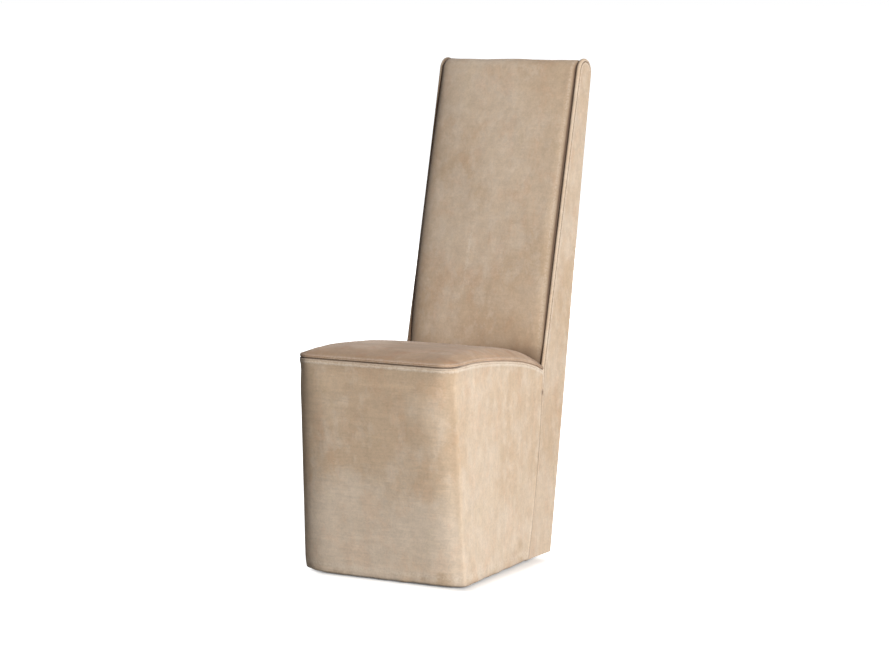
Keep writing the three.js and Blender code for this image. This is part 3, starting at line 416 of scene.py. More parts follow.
def stretched_grid(name, columns, rows, place):
    """A grid primitive whose crossings go to place(column, row)."""
    deselect()
    bpy.ops.mesh.primitive_grid_add(
        x_subdivisions=len(columns) - 1, y_subdivisions=len(rows) - 1, size=1
    )
    obj = bpy.context.object
    obj.name = name
    obj.data.name = name
    spots = points_of(obj)
    across = np.rint((spots[:, 0] + 0.5) * (len(columns) - 1)).astype(int)
    along = np.rint((spots[:, 1] + 0.5) * (len(rows) - 1)).astype(int)
    move_points(obj, [place(columns[i], rows[j]) for i, j in zip(across, along)])
    return obj


def apply_all(obj):
    pick(obj)
    for modifier in list(obj.modifiers):
        bpy.ops.object.modifier_apply(modifier=modifier.name)


def mend(obj, distance):
    """Merges double points and turns the faces outwards."""
    pick(obj)
    bpy.ops.object.mode_set(mode="EDIT")
    bpy.ops.mesh.select_all(action="SELECT")
    bpy.ops.mesh.remove_doubles(threshold=distance)
    bpy.ops.mesh.normals_make_consistent(inside=False)
    bpy.ops.object.mode_set(mode="OBJECT")


def normals_of(obj):
    return points_of(obj, "normal")


def flip(obj):
    pick(obj)
    bpy.ops.object.mode_set(mode="EDIT")
    bpy.ops.mesh.select_all(action="SELECT")
    bpy.ops.mesh.flip_normals()
    bpy.ops.object.mode_set(mode="OBJECT")


def face_towards(obj, directions):
    """Turns a sheet over if it faces against the directions."""
    if (normals_of(obj) * directions).sum() < 0:
        flip(obj)


def bell(distance, width):
    """1 at no distance, falling smoothly over the width on both sides."""
    return np.exp(-((distance / width) ** 2))


def fade(distance, width):
    """1 up to no distance, falling off over the width."""
    return np.exp(-np.clip(distance, 0, None) / width)


def ramp(value, low, high):
    """0 below the low end, 1 above the high one."""
    return np.clip((value - low) / (high - low), 0, 1)


def fill_out(obj, free, pressure, reach):
    """Presses a sheet out from behind as its stuffing does, by a cloth simulation.

    Where free is 0 the sheet is held, and no point moves further than reach.
    """
    start = points_of(obj)
    held = obj.vertex_groups.new(name="held")
    for index, share in enumerate(free):
        held.add([index], 1.0 - float(share), "REPLACE")
    cloth = obj.modifiers.new("stuffing", "CLOTH")
    cloth.settings.quality = CLOTH_QUALITY
    cloth.settings.vertex_group_mass = "held"
    cloth.settings.use_pressure = True
    cloth.settings.uniform_pressure_force = pressure
    cloth.settings.shrink_min = CLOTH_SPARE
    cloth.settings.effector_weights.gravity = 0.0
    cloth.collision_settings.use_collision = False
    cloth.point_cache.frame_end = CLOTH_FRAMES
    for step in range(1, CLOTH_FRAMES + 1):
        bpy.context.scene.frame_set(step)
    shaped = obj.evaluated_get(bpy.context.evaluated_depsgraph_get())
    ends = points_of(shaped)
    obj.modifiers.remove(cloth)
    obj.vertex_groups.clear()
    bpy.context.scene.frame_set(1)
    moves = ends - start
    lengths = np.linalg.norm(moves, axis=1)[:, None] + TINY
    moves *= reach * np.tanh(lengths / reach) / lengths * np.asarray(free)[:, None]
    move_points(obj, start + moves)


def thicken(obj, thickness):
    """Gives a sheet its thickness, inwards from its outer face."""
    wall = obj.modifiers.new("thickness", "SOLIDIFY")
    wall.thickness = thickness
    wall.offset = -1
    wall.use_even_offset = False
    apply_all(obj)
    return obj


def smooth(obj, degrees):
    pick(obj)
    bpy.ops.object.shade_smooth_by_angle(angle=math.radians(degrees))


def field_sum(fields, marks):
    """Adds up marks, each a strength times the shapes that follow it.

    A shape is a field's name alone, or the kind of shape, its field and the shape's numbers.
    """
    total = 0.0
    for strength, *shapes in marks:
        mark = strength
        for shape in shapes:
            if isinstance(shape, str):
                mark = mark * fields[shape]
            else:
                kind, field, *numbers = shape
                mark = mark * SHAPES[kind](fields[field], *numbers)
        total = total + mark
    return total


def paint(obj, fields, looks):
    """Keeps one number per point under each name in looks, for the materials to read."""
    for name, marks in looks.items():
        values = field_sum(fields, marks) + np.zeros(len(obj.data.vertices))
        if name in ("shade", "wear"):
            values = np.clip(values, 0, 1)
        layer = obj.data.attributes.new(name, "FLOAT", "POINT")
        layer.data.foreach_set("value", np.asarray(values, np.float32))


def dress(obj, material, slot, *nodes):
    obj.data.materials.clear()
    obj.data.materials.append(material)
    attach(obj, BODY)
    if nodes:
        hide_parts(*nodes)
    return obj


NOISE_STEP = (3.7, 1.3, 2.1)


def ruffle(points, scale, seed):
    """Smooth wandering between -1 and 1."""
    shift = Vector([seed * step for step in NOISE_STEP])
    return np.array([noise.noise(Vector(p) * scale + shift) for p in points])


def wave(points, squash, scale, seed):
    return ruffle(points * squash, scale, seed)


def patch(points, squash, scale, seed, low, high):
    return ramp(wave(points, squash, scale, seed), low, high)


# Shapes that a mark is made of. Their numbers are the middle and width of a bell, the start and
# width of a fade, the low and high end of a ramp, the limit of under and over, the squash of space,
# scale and seed of a wave, and for a patch the low and high end of a ramp over such a wave.
SHAPES = {
    "bell": lambda value, middle, width: bell(value - middle, width),
    "fade": lambda value, start, width: fade(value - start, width),
    "ramp": ramp, "under": np.less, "over": np.greater, "wave": wave, "patch": patch,
}
PLAIN = (1.0, 1.0, 1.0)


# Materials


class Tree:
    """Adds nodes to a node tree and links them."""

    def __init__(self, nodes_of):
        self.nodes = nodes_of.nodes
        self.links = nodes_of.links

    def add(self, kind, inputs=None, **settings):
        node = self.nodes.new(kind)
        for key, value in settings.items():
            setattr(node, key, value)
        for key, value in (inputs or {}).items():
            self.set(node, key, value)
        return node

    def set(self, node, key, value):
        if isinstance(value, bpy.types.NodeSocket):
            self.links.new(value, node.inputs[key])
        else:
            node.inputs[key].default_value = value

    def noise(self, place, scale, detail, roughness, distortion):
        sizes_in = {
            "Vector": place, "Scale": scale, "Detail": detail,
            "Roughness": roughness, "Distortion": distortion,
        }
        return self.add("ShaderNodeTexNoise", sizes_in).outputs["Fac"]

    def stretch(self, place, scale):
        return self.add("ShaderNodeMapping", {"Vector": place, "Scale": scale}).outputs["Vector"]

    def noises(self, place, table):
        """Noises by name, each from its squash of space and its numbers."""
        made = {}
        for name, (squash, *numbers) in table.items():
            spot = place if squash == PLAIN else self.stretch(place, squash)
            made[name] = self.noise(spot, *numbers)
        return made

    def levels(self, value, low, high, out_low=0.0, out_high=1.0):
        ends = {
            "Value": value, "From Min": low, "From Max": high, "To Min": out_low, "To Max": out_high
        }
        return self.add("ShaderNodeMapRange", ends, interpolation_type="SMOOTHSTEP").outputs["Result"]

    def level_set(self, noises, table):
        """Levels by name, each from the name of its noise and its ends."""
        return {name: self.levels(noises[source], *ends) for name, (source, *ends) in table.items()}

    def sum(self, operation, a, b=0.0, clamped=False):
        node = self.add("ShaderNodeMath", operation=operation, use_clamp=clamped)
        self.set(node, 0, a)
        self.set(node, 1, b)
        return node.outputs["Value"]

    def blend(self, share, a, b, blend_type="MIX"):
        node = self.add("ShaderNodeMix", data_type="RGBA", blend_type=blend_type)
        self.set(node, 0, share)
        self.set(node, 6, a)
        self.set(node, 7, b)
        return node.outputs[2]

    def seen(self):
        """1 for what the camera sees, also by reflection or through glass, and otherwise 0."""
        path = self.add("ShaderNodeLightPath")
        seen = path.outputs["Is Camera Ray"]
        for ray in ("Is Glossy Ray", "Is Transmission Ray"):
            seen = self.sum("MAXIMUM", seen, path.outputs[ray])
        return seen

    def take_look(self, shader, look, strength, distance):
        """Links the outputs of a group to a shader, the height by way of a bump."""
        self.set(shader, "Base Color", look.outputs["Color"])
        self.set(shader, "Roughness", look.outputs["Roughness"])
        bump = self.add("ShaderNodeBump", {"Height": look.outputs["Height"]})
        bump.inputs["Strength"].default_value = strength
        bump.inputs["Distance"].default_value = distance
        self.set(shader, "Normal", bump.outputs["Normal"])


COLOUR, NUMBER, VECTOR = "NodeSocketColor", "NodeSocketFloat", "NodeSocketVector"
LOOK_OUTPUTS = (("Color", COLOUR), ("Roughness", NUMBER), ("Height", NUMBER))
DYED, TINTS = ("Pale", "Middle", "Tan", "Deep", "Worn"), ("Rosy", "Olive")
# Shade blends a cover towards its deep tone; it holds painted shade in creases, at joins and on sides
# turned from the key lamp, as well as dark seams, the pucker and stain marks
LAYERS = ("Wear", "Shade", "Warmth", "Upright")

# Noises of the hide: squash of space, scale, detail, roughness and distortion
HIDE_NOISES = {
    "clouds": (PLAIN, 5.0, 5.0, 0.55, 0.15),
    "mottle": ((1.0, 1.0, 0.7), 30.0, 6.0, 0.66, 0.2),
    "tint": ((1.2, 1.2, 0.8), 16.0, 6.0, 0.68, 0.1),
    "spots": (PLAIN, 60.0, 4.0, 0.65, 0.3),
    "flecks": (PLAIN, 240.0, 3.0, 0.6, 0.0),
    "upright": ((105.0, 105.0, 13.0), 1.0, 3.0, 0.6, 0.6),
    "level": ((14.0, 14.0, 120.0), 1.0, 3.0, 0.6, 0.6),
    "nap": (PLAIN, 1500.0, 2.0, 0.6, 0.0),
    "wrinkles": ((1.0, 1.0, 1.4), 150.0, 4.0, 0.6, 1.2),
}
# What is made of them: noise, its low and high value, and what these become
HIDE_LEVELS = {
    "warm": ("clouds", 0.38, 0.66, 0.0, 1.0), "pale": ("mottle", 0.42, 0.66, 0.0, 1.0),
    "rosy": ("tint", 0.50, 0.64, 0.0, 0.6), "olive": ("tint", 0.44, 0.34, 0.0, 0.25),
    "brushed_up": ("upright", 0.3, 0.72, -0.032, 0.032),
    "brushed_across": ("level", 0.3, 0.72, -0.065, 0.065),
    "fleck_tone": ("flecks", 0.3, 0.7, -0.045, 0.045), "spot_tone": ("spots", 0.3, 0.7, -0.05, 0.05),
    "rubbed": ("flecks", 0.3, 0.7, -0.25, 0.25), "roughness": ("flecks", 0.2, 0.8, 0.66, 0.84),
}
HIDE_HEIGHTS = (("grain", 0.35), ("nap", 0.25), ("wrinkles", 0.8), ("upright", 0.35))
HIDE_GRAIN_SCALE = 620.0
WARM_SHARE, PALE_SHARE = 0.8, 0.5
WORN_THROUGH = 0.25


def hide_look(t, given):
    """Clouds, streaks, creases and worn ridges of washed leather."""
    noises = t.noises(given["Place"], HIDE_NOISES)
    level = t.level_set(noises, HIDE_LEVELS)
    warm = t.sum("ADD", level["warm"], given["Warmth"], True)
    colour = t.blend(t.sum("MULTIPLY", warm, WARM_SHARE), given["Middle"], given["Tan"])
    pale = t.sum("SUBTRACT", level["pale"], given["Warmth"], True)
    colour = t.blend(t.sum("MULTIPLY", pale, PALE_SHARE), colour, given["Pale"])
    colour = t.blend(level["rosy"], colour, given["Rosy"], "MULTIPLY")
    colour = t.blend(level["olive"], colour, given["Olive"], "MULTIPLY")
    across = t.sum("SUBTRACT", 1.0, given["Upright"])
    streaks = t.sum(
        "ADD", t.sum("MULTIPLY", level["brushed_up"], given["Upright"]),
        t.sum("MULTIPLY", level["brushed_across"], across),
    )
    for part in (1.0, level["fleck_tone"], level["spot_tone"]):
        streaks = t.sum("ADD", streaks, part)
    grey = t.add("ShaderNodeCombineColor", {"Red": streaks, "Green": streaks, "Blue": streaks})
    colour = t.blend(1.0, colour, grey.outputs["Color"], "MULTIPLY")
    rubbed = t.sum("ADD", given["Wear"], level["rubbed"], True)
    worn = t.sum("MULTIPLY", rubbed, t.levels(given["Wear"], 0.0, WORN_THROUGH))
    colour = t.blend(worn, colour, given["Worn"])
    colour = t.blend(given["Shade"], colour, given["Deep"])
    cells = {"Vector": given["Place"], "Scale": HIDE_GRAIN_SCALE}
    noises["grain"] = t.add("ShaderNodeTexVoronoi", cells, feature="SMOOTH_F1").outputs["Distance"]
    height = 0.0
    for name, share in HIDE_HEIGHTS:
        height = t.sum("ADD", t.sum("MULTIPLY", noises[name], share), height)
    return colour, level["roughness"], height


def new_material(name):
    found = bpy.data.materials.get(name)
    if found:
        bpy.data.materials.remove(found)
    material = bpy.data.materials.new(name)
    material.use_nodes = True
    material.node_tree.nodes.clear()
    t = Tree(material.node_tree)
    shader = t.add("ShaderNodeBsdfPrincipled")
    output = t.add("ShaderNodeOutputMaterial")
    t.links.new(shader.outputs["BSDF"], output.inputs["Surface"])
    return material, t, shader


def darker(colour, share):
    return tuple(v * share for v in colour)


# The leather of each cover: its part of the hide, the depth of its dye and how pink it is
LEATHERS = {
    "base": (1, 0.97, 0.0), "seat": (2, 0.775, 0.10), "inside_back": (3, 0.83, 0.008),
    "outside_back": (4, 1.0, 0.0), "cheek_left": (7, 0.92, 0.008), "cheek_right": (5, 0.92, 0.008),
}
HIDE_STEP = (1.71, 0.83, 0.37)
BLUE_BLUSH = 1.6
LEATHER_GLOSS = (("Specular IOR Level", 0.25), ("Sheen Weight", 0.12), ("Sheen Roughness", 0.6))
LEATHER_BUMP = (0.35, 0.0006)


def leather_material(part):
    """The leather of one cover, as the table says."""
    seed, depth, blush = LEATHERS[part]
    tones = bpy.context.scene.leather_tones
    material, t, shader = new_material("washed_leather_" + part)
    place = t.add("ShaderNodeTexCoord").outputs["Object"]
    shift = [seed * step for step in HIDE_STEP]
    moved = t.add("ShaderNodeMapping", {"Vector": place, "Location": shift}).outputs["Vector"]
    group = t.add("ShaderNodeGroup", node_tree=look_group("Washed hide"))
    t.set(group, "Place", moved)
    for label in (*DYED, *TINTS):
        red, green, blue = darker(getattr(tones, label.lower()), depth if label in DYED else 1.0)
        pink = (red, green * (1 - blush), blue * (1 - BLUE_BLUSH * blush), 1.0)
        group.inputs[label].default_value = pink
    for label in LAYERS:
        layer = t.add("ShaderNodeAttribute", attribute_name=label.lower())
        t.set(group, label, layer.outputs["Fac"])
    for label, value in LEATHER_GLOSS:
        shader.inputs[label].default_value = value
    t.take_look(shader, group, *LEATHER_BUMP)
    return material


TIMBER_NOISES = {
    "pores": ((30.0, 900.0, 900.0), 1.0, 3.0, 0.6, 0.0), "patches": ((2.0, 9.0, 9.0), 1.0, 3.0, 0.5, 0.0),
}
TIMBER_LEVELS = {
    "dark_pores": ("pores", 0.5, 0.75, 0.0, 0.35), "patchy": ("patches", 0.4, 0.7, -0.1, 0.2),
    "roughness": ("pores", 0.3, 0.7, 0.55, 0.75),
}
TIMBER_SWAY = 0.03
RING_TONE, RING_HEIGHT = 0.55, 0.3


def timber_look(t, given):
    """Rings and pores of sawn wood that runs along X."""
    bent = t.add("ShaderNodeTexNoise", {"Vector": given["Place"], "Scale": 5.0, "Detail": 2.0})
    sway = t.add("ShaderNodeVectorMath", {0: bent.outputs["Color"]}, operation="SCALE")
    sway.inputs["Scale"].default_value = TIMBER_SWAY
    place = t.add(
        "ShaderNodeVectorMath", {0: given["Place"], 1: sway.outputs["Vector"]}, operation="ADD"
    ).outputs["Vector"]
    rings = t.add(
        "ShaderNodeTexWave", {"Vector": place, "Scale": 34.0, "Distortion": 1.5, "Detail": 2.0},
        wave_type="RINGS", rings_direction="X",
    ).outputs["Fac"]
    noises = t.noises(place, TIMBER_NOISES)
    level = t.level_set(noises, TIMBER_LEVELS)
    share = t.sum("ADD", t.sum("MULTIPLY", rings, RING_TONE), level["dark_pores"], True)
    share = t.sum("ADD", share, level["patchy"], True)
    height = t.sum("SUBTRACT", t.sum("MULTIPLY", rings, RING_HEIGHT), noises["pores"])
    return t.blend(share, given["Wood"], given["Rings"]), level["roughness"], height


WEAVE_NOISES = {"slub": (PLAIN, 0.9, 4.0, 0.6, 0.0)}
WEAVE_LEVELS = {"slub_tone": ("slub", 0.2, 0.7, 0.6, 1.0), "roughness": ("slub", 0.3, 0.7, 0.8, 0.95)}
SLUB_HEIGHT = 0.4


def weave_look(t, given):
    """Plain weave of two sets of threads, along X and along Y."""
    bent = t.add("ShaderNodeTexNoise", {"Vector": given["Place"], "Scale": 0.6, "Detail": 2.0})
    place = t.add(
        "ShaderNodeVectorMath", {0: given["Place"], 1: bent.outputs["Color"]}, operation="ADD"
    ).outputs["Vector"]
    along, across = (
        t.add("ShaderNodeTexWave", {"Vector": place, "Scale": 0.5}, bands_direction=axis).outputs["Fac"]
        for axis in "XY"
    )
    thread = t.sum("MULTIPLY", along, across)
    noises = t.noises(place, WEAVE_NOISES)
    level = t.level_set(noises, WEAVE_LEVELS)
    share = t.sum("MULTIPLY", t.levels(thread, 0.05, 0.6), level["slub_tone"])
    height = t.sum("ADD", thread, t.sum("MULTIPLY", noises["slub"], SLUB_HEIGHT))
    return t.blend(share, given["Gap"], given["Thread"]), level["roughness"], height


FIBRE_NOISES = {"strands": (PLAIN, 0.7, 6.0, 0.7, 1.6), "patches": (PLAIN, 0.03, 3.0, 0.5, 0.0)}
FIBRE_LEVELS = {
    "dark_pores": ("pores", 0.2, 0.8, 0.0, 0.45), "dark_strands": ("strands", 0.45, 0.7, 0.0, 0.4),
    "patchy": ("patches", 0.45, 0.7, 0.0, 0.25), "roughness": ("strands", 0.3, 0.7, 0.78, 0.95),
}


def fibre_look(t, given):
    """Matted fibres and pores, of foam, wadding, felted cloth and pressed board."""
    cells = {"Vector": given["Place"], "Scale": 1.0}
    noises = t.noises(given["Place"], FIBRE_NOISES)
    noises["pores"] = t.add("ShaderNodeTexVoronoi", cells, feature="SMOOTH_F1").outputs["Distance"]
    level = t.level_set(noises, FIBRE_LEVELS)
    share = t.sum("ADD", level["dark_pores"], level["dark_strands"], True)
    share = t.sum("ADD", share, level["patchy"], True)
    height = t.sum("ADD", noises["pores"], noises["strands"])
    return t.blend(share, given["Light"], given["Dark"]), level["roughness"], height


STEEL_NOISES = {
    "bloom": (PLAIN, 90.0, 4.0, 0.6, 0.0), "marks": ((700.0, 60.0, 700.0), 1.0, 3.0, 0.6, 0.0),
}
STEEL_LEVELS = {
    "dull": ("bloom", 0.45, 0.7, 0.0, 0.8), "dull_rough": ("bloom", 0.4, 0.7, 0.28, 0.5),
    "mark_rough": ("marks", 0.3, 0.7, -0.06, 0.06),
}


def steel_look(t, given):
    """Drawing marks and a dull bloom on steel."""
    noises = t.noises(given["Place"], STEEL_NOISES)
    level = t.level_set(noises, STEEL_LEVELS)
    rough = t.sum("ADD", level["dull_rough"], level["mark_rough"])
    height = t.sum("ADD", noises["marks"], noises["bloom"])
    return t.blend(level["dull"], given["Steel"], given["Bloom"]), rough, height


# Node groups of the finishes: what makes each, its colours and its numbers
LOOK_GROUPS = {
    "Washed hide": (hide_look, (*DYED, *TINTS), LAYERS),
    "Sawn timber": (timber_look, ("Wood", "Rings"), ()),
    "Plain weave": (weave_look, ("Thread", "Gap"), ()),
    "Matted fibres": (fibre_look, ("Light", "Dark"), ()),
    "Drawn steel": (steel_look, ("Steel", "Bloom"), ()),
}


def look_group(name):
    """The node group of a finish, made when it is first asked for."""
    found = bpy.data.node_groups.get(name)
    if found:
        return found
    make, colours, numbers = LOOK_GROUPS[name]
    inputs = [("Place", VECTOR)] + [(label, COLOUR) for label in colours]
    inputs += [(label, NUMBER) for label in numbers]
    group = bpy.data.node_groups.new(name, "ShaderNodeTree")
    for way, sockets in (("INPUT", inputs), ("OUTPUT", LOOK_OUTPUTS)):
        for label, kind in sockets:
            group.interface.new_socket(label, in_out=way, socket_type=kind)
    t = Tree(group)
    looks = make(t, t.add("NodeGroupInput").outputs)
    out = t.add("NodeGroupOutput")
    for (label, _), value in zip(LOOK_OUTPUTS, looks):
        t.set(out, label, value)
    return group


# Quarter turns about Z and Y that lay the wood's length along Y or Z
TURN_TO_X = (0.0, 0.0, 0.0)
TURN_TO_Y = (0.0, 0.0, math.pi / 2)
TURN_TO_Z = (0.0, math.pi / 2, 0.0)
# Quarter turn about X that lays a weave upright
TURN_UPRIGHT = (math.pi / 2, 0.0, 0.0)
# Materials inside: node group, light tone, dark tone or how much darker it is, scale, turn, depth
# of the bumps and share of bare metal
INNER_LOOKS = {
    "cut_foam": ("Matted fibres", "foam", 0.7, 420.0, TURN_TO_X, 0.0004, 0.0),
    "fibre_wadding": ("Matted fibres", "wadding", 0.8, 260.0, TURN_TO_X, 0.0004, 0.0),
    "burlap_weave": ("Plain weave", "jute", 0.25, 520.0, TURN_TO_X, 0.0003, 0.0),
    "webbing_weave": ("Plain weave", "jute", 0.25, 700.0, TURN_UPRIGHT, 0.0003, 0.0),
    "dust_cloth_felt": ("Matted fibres", "dust_cloth", 0.4, 900.0, TURN_TO_X, 0.0004, 0.0),
    "sawn_timber_across": ("Sawn timber", "timber", "timber_rings", 1.0, TURN_TO_X, 0.0003, 0.0),
    "sawn_timber_deep": ("Sawn timber", "timber", "timber_rings", 1.0, TURN_TO_Y, 0.0003, 0.0),
    "sawn_timber_upright": ("Sawn timber", "timber", "timber_rings", 1.0, TURN_TO_Z, 0.0003, 0.0),
    "pressed_board": ("Matted fibres", "board", "board_flecks", 500.0, TURN_TO_X, 0.0002, 0.0),
    "plywood": ("Sawn timber", "timber", "board", 1.0, TURN_TO_Z, 0.0002, 0.0),
    "oiled_wire": ("Drawn steel", "wire", 0.4, 1.0, TURN_TO_X, 0.00005, 1.0),
    "plated_steel": ("Drawn steel", "plated", 0.7, 1.0, TURN_TO_X, 0.00003, 1.0),
    "waxed_thread": ("Plain weave", "tone", 0.5, 2500.0, TURN_TO_X, 0.0001, 0.0),
}
INNER_BUMP = 0.5


def inner_material(name, tones):
    """A material of the frame, the stuffing, the cloth or the thread, as the table says."""
    group, light, dark, scale, turn, depth, metallic = INNER_LOOKS[name]
    light = getattr(tones, light)
    dark = getattr(tones, dark) if isinstance(dark, str) else darker(light, dark)
    material, t, shader = new_material(name)
    place = t.add("ShaderNodeTexCoord").outputs["Object"]
    turned = t.add("ShaderNodeMapping", {"Vector": place, "Rotation": turn, "Scale": (scale,) * 3})
    look = t.add("ShaderNodeGroup", node_tree=look_group(group))
    t.set(look, 0, turned.outputs["Vector"])
    look.inputs[1].default_value = (*light, 1.0)
    look.inputs[2].default_value = (*dark, 1.0)
    shader.inputs["Metallic"].default_value = metallic
    t.take_look(shader, look, INNER_BUMP, depth)
    return material


# Covers


def hem_rows(c, middle, roll, turns):
    """Rows of a turned hem, with their inset and height: flat under the frame, then rolled up."""
    rows = [("hem", inset, 0.0) for inset in (c.hem_return, middle, roll)]
    return rows + [("hem", roll * (1 - math.sin(a)), roll * (1 - math.cos(a))) for a in turns]


def finish_cover(c, obj, fields, looks):
    """Paints a cover, gives it the leather's thickness and smooths its shading."""
    paint(obj, fields, looks)
    thicken(obj, c.leather)
    smooth(obj, COVER_ANGLE)
    return obj


COVER_ANGLE = 60
# Steps round half the skirt: shares of the corner's two halves, then how many on front and side
CORNER_TURN = (0.83, 0.865, 0.9, 0.935, 0.97, 1.0)
SIDE_TURN = (0.02, 0.04, 0.06, 0.08, 0.1)
FRONT_STEPS, SIDE_STEPS, SIDE_GROWTH = 60, 84, 1.35
SKIRT_ROWS, SKIRT_HEM_TURNS, SKIRT_HEM_MIDDLE = 130, 5, 0.013
SKIRT_MIDDLE = 0.2
CORNER_EASE = 0.05
FOLD_LEAN, FOLD_RATE = 0.6, 520.0
HEM_CURL_MOVE = (0.004, 0.003, 0.0)
FACING_FRONT = (0.5, 0.95)

# Marks on the skirt. Its fields are points, x, wide (x without its sign), y from the front of the
# seat, z, over_hem, below (the seat seam), rear (ahead of the side seam), folds, pucker (distance),
# near_pucker, on_front, off_front, turned (round the corner) and the tan marks, each a stain but for
# one patch of painted shade.
NEAR_SEAT_FRONT = ("fade", "y", 0.03, 0.04)
NEAR_HEM = ("ramp", "over_hem", 0.03, 0.0)
HEM_DARK = ("ramp", "over_hem", 0.014, 0.0)
HEM_FLAT = ("ramp", "over_hem", 0.035, 0.0)
SKIRT_FREE = (("ramp", "below", 0.0, 0.03), ("ramp", "rear", 0.0, 0.02))
# Painted shade round both front corners, to dim where the key lamp lights them most, and browner there
PAINTED_CORNER_SHADE = (("bell", "turned", 0.95, 0.38), ("under", "y", 0.08))
BY_FRONT = ("under", "y", 0.06)
# Painted shade down the front's edge on the sitter's right, turned from the key lamp, and browner there
PAINTED_LEFT_SHADE = (("fade", "x", -0.187, 0.016), BY_FRONT)
SEAM_LINE = ("bell", "below", 0.0, 0.0022)
PUCKER_DARK = ("bell", "pucker", 0.0, 0.0050)
SKIRT_LIFT = (
    (0.0012, ("wave", "points", (1.0, 1.0, 0.45), 11.0, 3), *SKIRT_FREE),
    (0.0005, ("wave", "points", (1.0, 1.0, 0.3), 28.0, 5), *SKIRT_FREE),
    (0.0018, ("wave", "points", (1.0, 1.0, 0.6), 38.0, 9), NEAR_HEM, *SKIRT_FREE),
    (-0.0016, ("bell", "below", 0.035, 0.025), *SKIRT_FREE),
    (0.0011, ("bell", "rear", 0.0045, 0.0032), ("ramp", "below", 0.0, 0.02)),
    (0.0004, "folds", ("bell", "wide", 0.188, 0.022), ("bell", "below", 0.022, 0.013), BY_FRONT),
)
HEM_CURL = ((1.0, HEM_FLAT, HEM_FLAT, ("bell", "x", -0.19, 0.03), ("under", "y", 0.12)),)
SKIRT_LOOKS = {
    "shade": (
        # The dark seat seam, painted far darker on the front, which lies in shade, than on the lit sides
        (0.08, SEAM_LINE), (0.72, SEAM_LINE, NEAR_SEAT_FRONT),
        (0.8, ("fade", "rear", 0.0, 0.0026), "near_pucker"),
        # Painted shade on the sitter's right edge and round the corners
        (0.95, PUCKER_DARK), (0.25, HEM_DARK, HEM_DARK), (0.16, *PAINTED_LEFT_SHADE), (0.15, *PAINTED_CORNER_SHADE),
        (0.5, ("fade", "rear", 0.0, 0.004), ("bell", "z", 0.23, 0.06)), (0.10, "stains"),
    ),
    "wear": (
        (0.55, ("bell", "below", 0.0032, 0.0014)), (0.5, ("bell", "below", 0.0085, 0.0030)),
        (0.12, ("bell", "rear", 0.005, 0.003)), (0.2, ("bell", "over_hem", 0.02, 0.008)),
    ),
    "warmth": (
        (0.9, "on_front", ("ramp", "z", 0.06, 0.42)), (-0.45, "on_front"), (-0.05, "off_front"),
        (-0.45, "on_front", ("bell", "z", 0.12, 0.09)),
        (0.6, "on_front", ("wave", "points", (1.0, 1.0, 1.6), 8.0, 19)),
        (1.3, ("fade", "z", 0.0, 0.022), ("patch", "points", PLAIN, 34.0, 51, -0.1, 0.4)),
        # Browner painted shade on the sitter's right edge and round the corners
        (0.5, *PAINTED_LEFT_SHADE), (0.5, *PAINTED_CORNER_SHADE, ("ramp", "z", 0.02, 0.2)),
        (-0.35, "off_front", ("fade", "z", 0.0, 0.07)), (1.0, "stains"),
    ),
    "upright": ((0.2,), (0.75, "off_front")),
}


